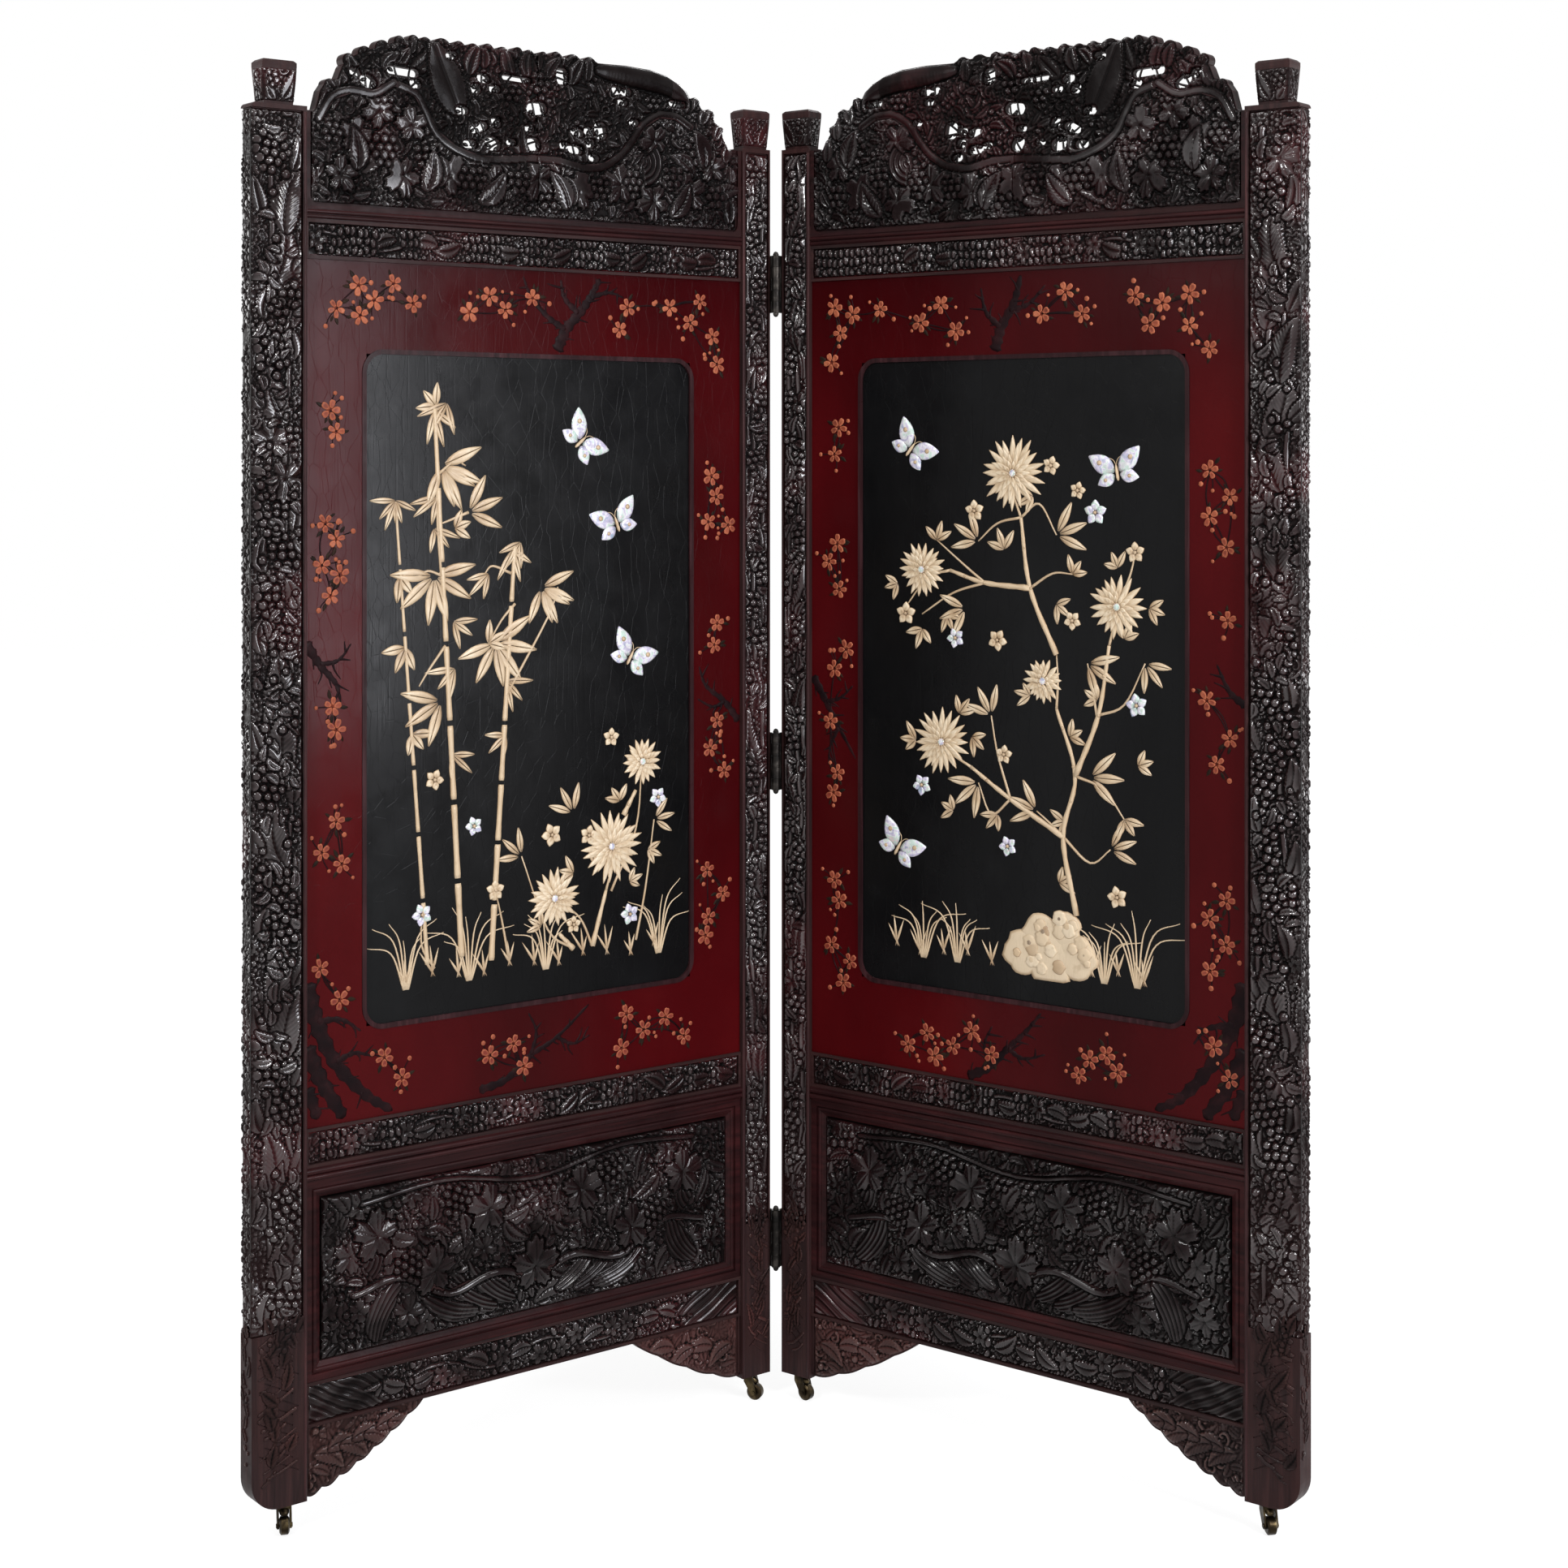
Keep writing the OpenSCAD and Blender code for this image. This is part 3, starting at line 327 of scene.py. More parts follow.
def carved_wood(name, side, stretch, colours=("#0e0707", "#180d0d", "#331315", "#2f2223"), gloss=0.3,
                patches=(0.4, 1.6), low=None, painted_shade_depth=0.15):
    """Dark polished wood: painted shade makes it black in the hollows, and its paler worn tops are wear and a
    painted highlight;
    glossy on what stands out. patches: how dull and how bright its gloss gets, low: a colour near the floor,
    and the last argument: the depth below which painted shade makes it black."""
    dark, middle, red, worn_and_lit = colours
    s = Surface(name, specular=0.05, coat_roughness=0.12, side=side)
    depth = s.depth()
    base = s.ramp(s.noise(8.0, 5.0), (0.4, dark), (0.54, middle), (0.66, red))
    grain = s.noise(420.0, 4.0, stretch)
    base = s.mix(s.span(grain, 0.35, 0.7, 0.0, 0.4), base, dark)
    # Paler tops: wear and a painted highlight.
    base = s.mix(s.span(depth, 0.66, 0.98, 0.0, 0.55), base, worn_and_lit)
    # Painted shade: near-black in the hollows of the carving.
    base = s.mix(s.span(depth, painted_shade_depth, painted_shade_depth + 0.37, 0.0, 1.0), "#020101", base)
    if low:
        base = s.mix(s.span(s.height_band(), 0.2, 0.5, 0.5, 0.0), base, low)
    shiny = s.span(s.noise(16.0, 3.0), 0.4, 0.62, *patches)
    polish = s.times(s.span(depth, 0.4, 0.95, 0.0, 2 * gloss), shiny)
    s.tree.links.new(polish, s.shader.inputs["Coat Weight"])
    roughness = s.span(depth, 0.3, 0.8, 0.5, 0.13)
    return s.finish(base, roughness, (grain, 0.0001), (s.noise(170.0, 2.0), 0.0003))


def plain_wood(name, side, stretch, dark="#1b1414", middle="#291c1c", light="#372423"):
    """The uncarved faces of posts and rails."""
    s = Surface(name, specular=0.06, side=side)
    grain = s.noise(150.0, 6.0, stretch, 0.6, 0.3)
    base = s.ramp(grain, (0.3, dark), (0.5, middle), (0.72, light))
    base = s.patch(9.0, 4.0, 0.42, 0.66, 0.5, base, "#2c1716")
    roughness = s.span(s.noise(50.0, 3.0), 0.3, 0.7, 0.3, 0.5)
    return s.finish(base, roughness, (grain, 0.00014), (s.noise(80.0, 3.0), 0.00025))


def moulding_wood(name, side, stretch, dark="#180b0c", middle="#281112", light="#3a191a"):
    """Redder, smoother wood of the mouldings and beads."""
    s = Surface(name, specular=0.07, side=side)
    grain = s.noise(130.0, 6.0, stretch, 0.6, 0.4)
    base = s.ramp(grain, (0.3, dark), (0.5, middle), (0.72, light))
    base = s.patch(7.0, 3.0, 0.4, 0.65, 0.6, base, dark)
    roughness = s.span(s.noise(40.0, 3.0), 0.3, 0.7, 0.25, 0.45)
    return s.finish(base, roughness, (grain, 0.00015), (s.noise(90.0, 2.0), 0.0002))


def lacquer(name, side, colours, specular, roughness, top_shade=None):
    """Smooth lacquer, darkened near the top with painted shade where a shade colour is given."""
    s = Surface(name, specular=specular, coat_roughness=0.25, side=side)
    base = s.ramp(s.noise(3.2, 4.0, (1, 1, 0.5)), *zip((0.3, 0.5, 0.72), colours))
    base = s.patch(260.0, 3.0, 0.5, 0.75, 0.25, base, colours[0])
    if top_shade:
        # Painted shade near the top of the board, under the rail.
        base = s.mix(s.span(s.height_band(), 1.36, 1.56, 0.0, 0.6), base, top_shade)
    scratches = s.span(s.noise(300.0, 2.0, (1, 1, 0.03)), 0.55, 0.75, 0.0, -1.0)
    rough = s.span(s.noise(22.0, 4.0), 0.3, 0.7, *roughness)
    crackle = s.span(s.crackle(55.0, (1, 1, 0.5)), 0.0, 0.012, -1.0, 0.0)
    return s.finish(base, rough, (s.noise(35.0, 2.0), 0.00013), (scratches, 0.00003), (crackle, 0.00004))


def relief_lacquer(name, dark, middle, light, low_shade=None, specular=0.06):
    """Raised lacquer, with painted shade deepening its colour low on the panel where a shade colour is given.
    """
    s = Surface(name, specular=specular)
    base = s.ramp(s.noise(46.0, 4.0), (0.34, dark), (0.52, middle), (0.68, light))
    if low_shade:
        # Painted shade, deeper lower on the panel.
        base = s.mix(s.span(s.height_band(), 0.6, 1.4, 0.75, 0.0), base, low_shade)
    base = s.patch(700.0, 3.0, 0.45, 0.75, 0.35, base, dark)
    base = s.mix(s.edges(0.5, 0.62), base, light)
    return s.finish(base, s.span(s.noise(90.0, 2.0), 0.3, 0.7, 0.4, 0.65), (s.noise(520.0, 3.0), 0.00015))


def bone_surface(name):
    s = Surface(name, specular=0.4, coat=0.05)
    # Low tones are dark: painted shade at rims, flanks and near roots, with the darker tone of some pieces.
    base = s.ramp(s.depth(), (0.05, "#463224"), (0.3, "#8c7153"), (0.55, "#b29b7d"), (0.85, "#c9b9a0"))
    base = s.patch(26.0, 4.0, 0.35, 0.7, 0.5, base, "#c1ae93")
    fibres = s.noise(900.0, 3.0, (1, 1, 0.08))
    base = s.mix(s.span(fibres, 0.5, 0.75, 0.0, 0.35), base, "#a49178")
    base = s.patch(60.0, 3.0, 0.58, 0.72, 0.4, base, "#977f62")
    return s.finish(base, s.span(s.noise(120.0, 2.0), 0.3, 0.7, 0.3, 0.5), (fibres, 0.00008))


def shell_surface(name):
    s = Surface(name, specular=0.5, coat=0.5, coat_roughness=0.1)
    swirl = s.noise(95.0, 3.0, (1, 1, 1), 0.5, 1.4)
    hues = zip((0.3, 0.42, 0.52, 0.62, 0.74), ("#8e9cad", "#b3abc2", "#d3d0d2", "#a3bfb2", "#c9b0b3"))
    base = s.ramp(swirl, *hues)
    lines = s.noise(600.0, 2.0, (1, 1, 0.2))
    base = s.mix(s.span(lines, 0.5, 0.8, 0.0, 0.3), base, "#808898")
    # Painted shade: darker grey where the tone is low, at the rims and near the root.
    base = s.mix(s.span(s.depth(), 0.1, 0.6, 0.8, 0.0), base, "#4f4f58")
    return s.finish(base, s.span(swirl, 0.3, 0.7, 0.15, 0.35), (lines, 0.00006))


def metal(name, dark, middle, light, roughness, metallic):
    s = Surface(name, specular=0.5, metallic=metallic)
    base = s.ramp(s.noise(70.0, 5.0), (0.32, dark), (0.5, middle), (0.7, light))
    return s.finish(base, s.span(s.noise(150.0, 3.0), 0.3, 0.7, *roughness), (s.noise(380.0, 3.0), 0.0001))


# Colours of carved wood: dark, middle, red, and worn tops that are also a painted highlight
OPENWORK_WOOD = ("#080505", "#0f0a0a", "#1e0d0e", "#1d1617")
REDDISH_WOOD = ("#221717", "#34211f", "#452826", "#4d3530")
QUIET_WOOD = ("#090505", "#100909", "#2a1012", "#201718")
MATERIALS = {}
for side in SIDES:
    MATERIALS[side] = {
        "upright": carved_wood(
            f"carved_upright_{side}", side, UPRIGHT, gloss=0.55, low="#2c1a1a", painted_shade_depth=0.06
        ),
        "across": carved_wood(f"carved_across_{side}", side, LENGTHWAYS, gloss=0.42),
        "quiet": carved_wood(f"carved_quiet_{side}", side, LENGTHWAYS, QUIET_WOOD, 0.2, (0.05, 1.9)),
        "openwork": carved_wood(f"carved_openwork_{side}", side, LENGTHWAYS, OPENWORK_WOOD, 0.22),
        "reddish": carved_wood(f"carved_reddish_{side}", side, UPRIGHT, REDDISH_WOOD, 0.2),
        "plain_upright": plain_wood(f"plain_upright_{side}", side, UPRIGHT),
        "plain_across": plain_wood(f"plain_across_{side}", side, LENGTHWAYS),
        "pierced": plain_wood(f"pierced_{side}", side, LENGTHWAYS, "#120a0a", "#1d1011", "#2c1517"),
        "moulding": moulding_wood(f"moulding_{side}", side, LENGTHWAYS),
        "strip": moulding_wood(f"strip_{side}", side, UPRIGHT, "#241718", "#352122", "#452b2b"),
        # The red border's last colour is painted shade near its top.
        "red": lacquer(
            f"red_lacquer_{side}", side, ("#2f0406", "#3c0609", "#490a0c"), 0.05, (0.13, 0.24), "#1e0204"
        ),
        "black": lacquer(f"black_lacquer_{side}", side, ("#060607", "#0c0c0d", "#151617"), 0.1, (0.15, 0.28)),
        "bead": moulding_wood(f"bead_{side}", side, UPRIGHT, "#1a0d0f", "#2a1618", "#3e2528"),
        "back": lacquer(f"back_lacquer_{side}", side, ("#1b1211", "#261a18", "#33221e"), 0.08, (0.3, 0.5)),
    }
# The blossoms' fourth colour is painted shade, deeper low on the panel.
BLOSSOM = relief_lacquer("blossom_lacquer", "#5d2618", "#7f3c27", "#9d5a3e", "#641f19", 0.18)
BLOSSOM_HEART = relief_lacquer("blossom_heart", "#22070a", "#37100f", "#6a2c1c")
BRANCH = relief_lacquer("branch_lacquer", "#0e0507", "#17090b", "#240f11")
SPRIG_LEAF = relief_lacquer("sprig_lacquer", "#0f0a08", "#18100c", "#261a12")
BONE = bone_surface("bone")
SHELL = shell_surface("mother_of_pearl")
IRON = metal("hinge_iron", "#0d0c0b", "#1d1a18", "#3d3935", (0.35, 0.6), 0.85)
BRASS = metal("caster_brass", "#15110c", "#322a1e", "#5c5038", (0.3, 0.5), 1.0)

PART_LOOKS = {
    "plain_upright": ("outer_post", "inner_post", "finials", "outer_bracket", "inner_bracket"),
    "plain_across": ("upper_rail", "lower_rail", "carved_panel", "bottom_rail"),
    "moulding": ("crest_moulding", "back_beading", "rail_moulding", "panel_moulding"),
    "pierced": ("crest",), "red": ("lacquer_border",), "black": ("picture_panel",), "bead": ("picture_bead",),
    "back": ("back_panel",),
}


def dress(node, material):
    """Gives a CAD node its material."""
    mesh = NODES[node].data
    mesh.materials.clear()
    mesh.materials.append(material)


for side in SIDES:
    for look, parts in PART_LOOKS.items():
        for part in parts:
            dress(f"{side}_{part}", MATERIALS[side][look])
    for part, material in (("hinge_leaves", IRON), ("screws", IRON), ("caster_plates", BRASS)):
        dress(f"{side}_{part}", material)
    for place in CASTERS:
        for part in ("fork", "axle", "wheel"):
            dress(f"{side}_{place}_{part}", BRASS)
dress("hinge_pins", IRON)


# Carving in relief


def dome(d):
    """Rises steeply from 0 and then levels out, as a round form does."""
    return np.sqrt(np.maximum(d, 0))


def midrib(off, wide):
    """How deep the groove down a leaf is at each distance from its middle."""
    return 1.3 * np.exp(-(off / wide) ** 2)


def veins(along, pitch):
    """How deep the fine lines over a leaf are at each length along it."""
    return 0.7 * (0.5 + 0.5 * np.cos(along * SPIN / pitch))


class Relief:
    """Heights over a rectangle: u across and v up, in millimetres, built from carved forms."""

    def __init__(self, u0, u1, v0, v1, step=GRID):
        self.u = np.linspace(u0, u1, max(2, round((u1 - u0) / step)) + 1)
        self.v = np.linspace(v0, v1, max(2, round((v1 - v0) / step)) + 1)
        self.U, self.V = np.meshgrid(self.u, self.v, indexing="ij")
        self.h = np.full(self.U.shape, BED)
        # dim lowers the depth: painted shade on the crest's upper openwork, a darker tone on shallow leaves.
        self.dim = np.ones(self.U.shape)

    def window(self, u0, u1, v0, v1):
        return (slice(np.searchsorted(self.u, u0), np.searchsorted(self.u, u1) + 1),
                slice(np.searchsorted(self.v, v0), np.searchsorted(self.v, v1) + 1))

    def press(self, area, form, near):
        """Sets a form over what is there and cuts the ground near it down to the bed."""
        here = self.h[area]
        self.h[area] = np.where(form > LOW, form, np.where(near, np.minimum(here, BED), here))

    def lay(self, u, v, reach, turn, shape, moat=1):
        """Sets a form over what is there, with a groove of so many steps cut round it."""
        reach += (moat + 1) * GRID
        area = self.window(u - reach, u + reach, v - reach, v + reach)
        du, dv = self.U[area] - u, self.V[area] - v
        if du.size == 0:
            return
        c, s = math.cos(turn), math.sin(turn)
        form = shape(du * c + dv * s, dv * c - du * s)
        groove = form > LOW
        for _ in range(moat):
            g = np.pad(groove, 1)
            groove = groove | g[:-2, 1:-1] | g[2:, 1:-1] | g[1:-1, :-2] | g[1:-1, 2:]
        self.press(area, form, groove)

    def berry(self, u, v, r, base=0.0, tall=1.0, turn=0.0):
        """A round fruit, or an egg-shaped one where tall is over 1."""
        def shape(a, b):
            d = 1 - (a / r) ** 2 - (b / (r * tall)) ** 2
            return np.where(d > 0, base + 0.9 * r * dome(d), LOW)
        self.lay(u, v, r * max(1, tall), turn, shape)

    def bunch(self, rng, u, v, turn, rows, r, base=1.0):
        """A bunch of grapes that hangs from a point. rows: how many lie side by side, from the top down."""
        du, dv = math.sin(turn), -math.cos(turn)
        pitch = r * 2.05
        for k, count in enumerate(rows):
            for m in range(count):
                across = (m - (count - 1) / 2) * pitch
                down = k * r * 1.8
                pu = u + du * down + dv * across + rng.uniform(-0.2, 0.2) * r
                pv = v + dv * down - du * across + rng.uniform(-0.2, 0.2) * r
                middle = 1 - abs(across) / (pitch * (max(rows) / 2 + 0.5))
                self.berry(pu, pv, r * rng.uniform(0.85, 1.05), base + 2.2 * middle)

    def leaf(self, u, v, length, width, turn, base=0.5, rise=3.0, tilt=0.0, lean=0.0, bend=0.0, ribs=4.2):
        """A pointed leaf from its stalk, with a midrib and side veins. base is its level, rise how far it
        swells, tilt and lean its slopes along and across, bend its curve sideways, ribs its veins' pitch."""
        def shape(a, b):
            t = np.clip(a / length, 1e-4, 1 - 1e-4)
            off = b - bend * length * (t - t ** 2) * 2
            w = leaf_width(t, width, 0.75, 0.75) * (1 + 0.08 * np.cos(a * SPIN / 5.0))
            q = np.abs(off) / np.maximum(w, 0.05)
            top = base + rise * (0.25 + 0.75 * dome(1 - (1.6 * q - 0.75) ** 2))
            top = top - midrib(off, 1.1)
            top = top - veins(a - 1.1 * np.abs(off), ribs) * (q < 0.85)
            top = top + tilt * (t - 0.5) + lean * off / width
            return np.where((a > 0) & (a < length) & (q < 1), np.maximum(top, BED), LOW)
        self.lay(u, v, length * (1 + 0.5 * abs(bend)), turn, shape)

    def vine_leaf(self, u, v, r, turn, base=0.5, rise=3.4, tilt=0.0, least=BED, moat=1):
        """A leaf of five lobes, each swelling like a shell, with a vein down it and finer ones beside.
        tilt is its slope along, least its lowest level."""
        lobes = 5
        sector = CIRCLE / lobes

        def shape(a, b):
            rho, angle = np.hypot(a, b), np.arctan2(b, a)
            lobe = np.abs(np.cos(lobes / 2 * angle))
            longer = 0.74 + 0.26 * np.cos(angle / 2) ** 1.4
            edge = r * longer * (0.55 + 0.45 * lobe ** 0.8) * (1 + 0.07 * np.cos(angle * 19))
            q = rho / edge
            across = rho * np.sin((angle + sector / 2) % sector - sector / 2)
            top = base + rise * (0.15 + 0.85 * dome(1 - (1.5 * q - 0.72) ** 2) * (0.25 + 0.75 * lobe))
            top = top - midrib(across, 1.2) * (q < 0.9)
            top = top - veins(rho - 1.4 * np.abs(across), 4.6) * (q < 0.9)
            return np.where(q < 1, np.maximum(top + tilt * a / r, least), LOW)
        self.lay(u, v, r * 1.1, turn, shape, moat)

    def proud_leaf(self, u, v, r, turn, base=4.4, rise=4.0, tilt=1.5):
        """A vine leaf that stands over the rest, in a wider groove."""
        self.vine_leaf(u, v, r, turn, base, rise, tilt, 4.3, 2)

    def stem(self, points, r, base=0.0, r_end=None, squash=1.0, moat=1, steps=6):
        """A round stem along a smooth line; r is one radius or one for each point."""
        path = smooth_path(points, steps)
        if isinstance(r, (int, float)):
            sizes = np.linspace(r, r if r_end is None else r_end, len(path))
        else:
            sizes = np.interp(np.linspace(0, len(r) - 1, len(path)), range(len(r)), r)
        pad = max(sizes) + (moat + 1) * GRID
        lo, hi = path.min(0) - pad, path.max(0) + pad
        area = self.window(lo[0], hi[0], lo[1], hi[1])
        U, V = self.U[area], self.V[area]
        if U.size == 0:
            return
        form = np.full(U.shape, LOW)
        near = np.zeros(U.shape, bool)
        for a, b, size in zip(path, path[1:], sizes):
            reach = float(np.linalg.norm(b - a))
            if reach <= 1e-6:
                continue
            along = ((U - a[0]) * (b[0] - a[0]) + (V - a[1]) * (b[1] - a[1])) / reach
            along = np.clip(along, 0, reach) / reach
            away = np.hypot(U - a[0] - along * (b[0] - a[0]), V - a[1] - along * (b[1] - a[1]))
            d = 1 - (away / size) ** 2
            form = np.maximum(form, np.where(d > 0, base + squash * size * dome(d), LOW))
            near |= away < size + moat * GRID
        self.press(area, form, near)

    def tendril(self, u, v, size, turn, hand=1, r=1.6, base=1.0):
        """A thin stem that runs into a curl."""
        t = np.linspace(0, 1, 9)
        angle = turn + hand * t * 5.2
        spread = size * (1 - t) ** 0.7 * 0.45
        centre = np.array(stepped(u, v, size * 0.5, turn))
        path = [centre + rotated(far, 0, a + SPIN / 2) for far, a in zip(spread, angle)]
        self.stem(path, r, base, r * 0.8, steps=3)

    def fan(self, u, v, inner, outer, turn, spread, pitch, base=1.0, rise=3.0):
        """Curved ridges between two radii, like gathered leaf blades."""
        def shape(a, b):
            rho, angle = np.hypot(a, b), np.arctan2(b, a)
            top = base + rise * np.abs(np.cos(math.pi * (rho - inner) / pitch)) + 0.8 * np.cos(angle * 1.4)
            return np.where((rho > inner) & (rho < outer) & (np.abs(angle) < spread), top, LOW)
        self.lay(u, v, outer, turn, shape)

    def blades(self, u, v, length, width, turn, pitch, base=1.0, rise=2.4, bend=0.12):
        """A leaf of long parallel ridges."""
        def shape(a, b):
            t = np.clip(a / length, 1e-4, 1 - 1e-4)
            w = leaf_width(t, width, 0.7, 0.7)
            off = b - bend * length * (2 * t - 1) ** 2
            ridge = np.abs(np.cos(math.pi * off / pitch * (1.1 - 0.35 * t)))
            top = base + rise * ridge + 1.6 * (1 - (off / np.maximum(w, 0.1)) ** 2)
            return np.where((a > 0) & (a < length) & (np.abs(off) < w), np.maximum(top, BED), LOW)
        self.lay(u, v, length * 1.1 + width / 2, turn, shape)

    def foliage(self, rng, area, size=1.0, berries=0.35, high=1.0, big=0.12):
        """Covers the ground with forms, one for each so many square millimetres. berries and big are the
        shares of fruit and of vine leaves, high how far they stand out."""
        width, tall = self.u[-1] - self.u[0], self.v[-1] - self.v[0]
        for _ in range(int(width * tall / area)):
            u = rng.uniform(self.u[0], self.u[-1])
            v = rng.uniform(self.v[0], self.v[-1])
            pick, spin, hand = rng.uniform(), rng.uniform(0, CIRCLE), rng.choice([-1, 1])
            grow, lift, tilt = rng.uniform(0.75, 1.3), rng.uniform(0, 2.4) * high, rng.uniform(-3, 3) * high
            if pick < berries:
                r = 3.8 * size * grow
                for k in range(rng.integers(1, 4)):
                    self.berry(*stepped(u, v, k * 2.1 * r, spin), r, lift * 0.7)
            elif pick < berries + big:
                self.vine_leaf(u, v, 12 * size * grow, spin, lift, 3.0 * high, tilt)
            elif pick < 0.86:
                long, wide = 22 * size * grow, 10 * size * grow
                self.leaf(u, v, long, wide, spin, lift, 3.0 * high, tilt, tilt, hand * 0.2)
            else:
                self.tendril(u, v, 17 * size * grow, spin, hand, 1.7 * size, 1.0 + lift)

    def swell(self, rng, rise, length):
        """Lifts broad parts of the carving, in waves of about the given length."""
        wave = np.zeros(self.U.shape)
        for _ in range(6):
            turn, start, size = rng.uniform(0, 3.14), rng.uniform(0, SPIN), length * rng.uniform(0.7, 1.5)
            wave += np.sin((self.U * math.cos(turn) + self.V * math.sin(turn)) * SPIN / size + start)
        self.h = np.where(self.h > LOW, self.h + rise * np.clip(0.5 + wave / 4.5, 0, 1), self.h)

    @staticmethod
    def blurred(h, times):
        for _ in range(times):
            g = np.pad(h, 1, mode="edge")
            h = (h * 4 + g[:-2, 1:-1] + g[2:, 1:-1] + g[1:-1, :-2] + g[1:-1, 2:]) / 8
        return h

    def soften(self):
        self.h = self.blurred(self.h, 1)

    def depth(self):
        """0 in hollows and grooves, 1 on what stands out most; lowered where dim is under 1."""
        local = (self.h - self.blurred(self.h, 20)) / 3.2
        return np.clip((0.42 + local + 0.05 * np.clip(self.h, 0, 8)) * self.dim, 0, 1)

    def settle(self, margin, edges):
        """Lets the carving sink into the ground at the edges that are named."""
        for letter, distance in (
            ("l", self.U - self.u[0]), ("r", self.u[-1] - self.U),
            ("b", self.V - self.v[0]), ("t", self.v[-1] - self.V),
        ):
            if letter in edges:
                self.h = np.minimum(self.h, (distance - margin) * 1.6 + 0.4)

    def solid(self, place, cells=None):
        """Points, faces and depths of a closed solid under the heights, over the cells that are kept.
        place turns (u, v, h) into panel millimetres."""
        nu, nv = self.U.shape
        total = nu * nv
        front = place(self.U, self.V, self.h).reshape(-1, 3)
        rear = place(self.U, self.V, np.full(self.U.shape, SUNK)).reshape(-1, 3)
        depth = self.depth().reshape(-1)
        index = np.arange(total).reshape(nu, nv)
        keep = np.ones((nu - 1, nv - 1), bool) if cells is None else cells
        corners = [grid[keep] for grid in (index[:-1, :-1], index[1:, :-1], index[1:, 1:], index[:-1, 1:])]
        faces = np.stack(corners, 1).tolist()
        if cells is None:
            ring = np.concatenate([index[:, 0], index[-1, 1:], index[-2::-1, -1], index[0, -2:0:-1]])
            n = len(ring)
            faces += [
                (int(ring[(k + 1) % n]), int(ring[k]), total + k, total + (k + 1) % n) for k in range(n)
            ]
            faces.append(tuple(total + k for k in range(n - 1, -1, -1)))
            return np.vstack([front, rear[ring]]), faces, np.concatenate([depth, np.zeros(n)])
        faces += (np.stack(corners[::-1], 1) + total).tolist()
        padded = np.pad(keep, 1)
        for beside, first, second in (
            (padded[1:-1, :-2], index[:-1, :-1], index[1:, :-1]),
            (padded[1:-1, 2:], index[1:, 1:], index[:-1, 1:]),
            (padded[:-2, 1:-1], index[:-1, 1:], index[:-1, :-1]),
            (padded[2:, 1:-1], index[1:, :-1], index[1:, 1:]),
        ):
            rim = ~beside & keep
            p, q = first[rim], second[rim]
            faces += np.stack([q, p, p + total, q + total], 1).tolist()
        used = np.unique(np.array(faces))
        where = np.full(2 * total, -1)
        where[used] = np.arange(len(used))
        depth = np.concatenate([depth, np.zeros(total)])
        return np.vstack([front, rear])[used], where[np.array(faces)].tolist(), depth[used]


def cells_where(values, least):
    """The cells of a grid whose four corners are all over a value."""
    return np.minimum.reduce([values[:-1, :-1], values[1:, :-1], values[1:, 1:], values[:-1, 1:]]) > least


def on_front(ground):
    """On the face of a board, where u runs outward and v up."""
    return lambda u, v, h: np.stack([u, ground - h, v], -1)


def on_end(sunk):
    """On the outer edge of a post, where u runs from front to back."""
    return lambda u, v, h: np.stack([END_X - sunk + h, u, v], -1)


def carved_piece(name, side, solid, look):
    points, faces, depth = solid
    make_piece(f"{side}_{name}", side, points, faces, MATERIALS[side][look], depth=depth)


def carve(name, side, relief, place, look, margin, edges="lrbt"):
    """Softens a relief, lets it sink into the ground at its edges and makes its piece."""
    relief.soften()
    relief.settle(margin, edges)
    relief.h = np.maximum(relief.h, LOW)
    carved_piece(name, side, relief.solid(place), look)


def either(rng, size):
    """A number or its opposite."""
    return rng.choice([-size, size])


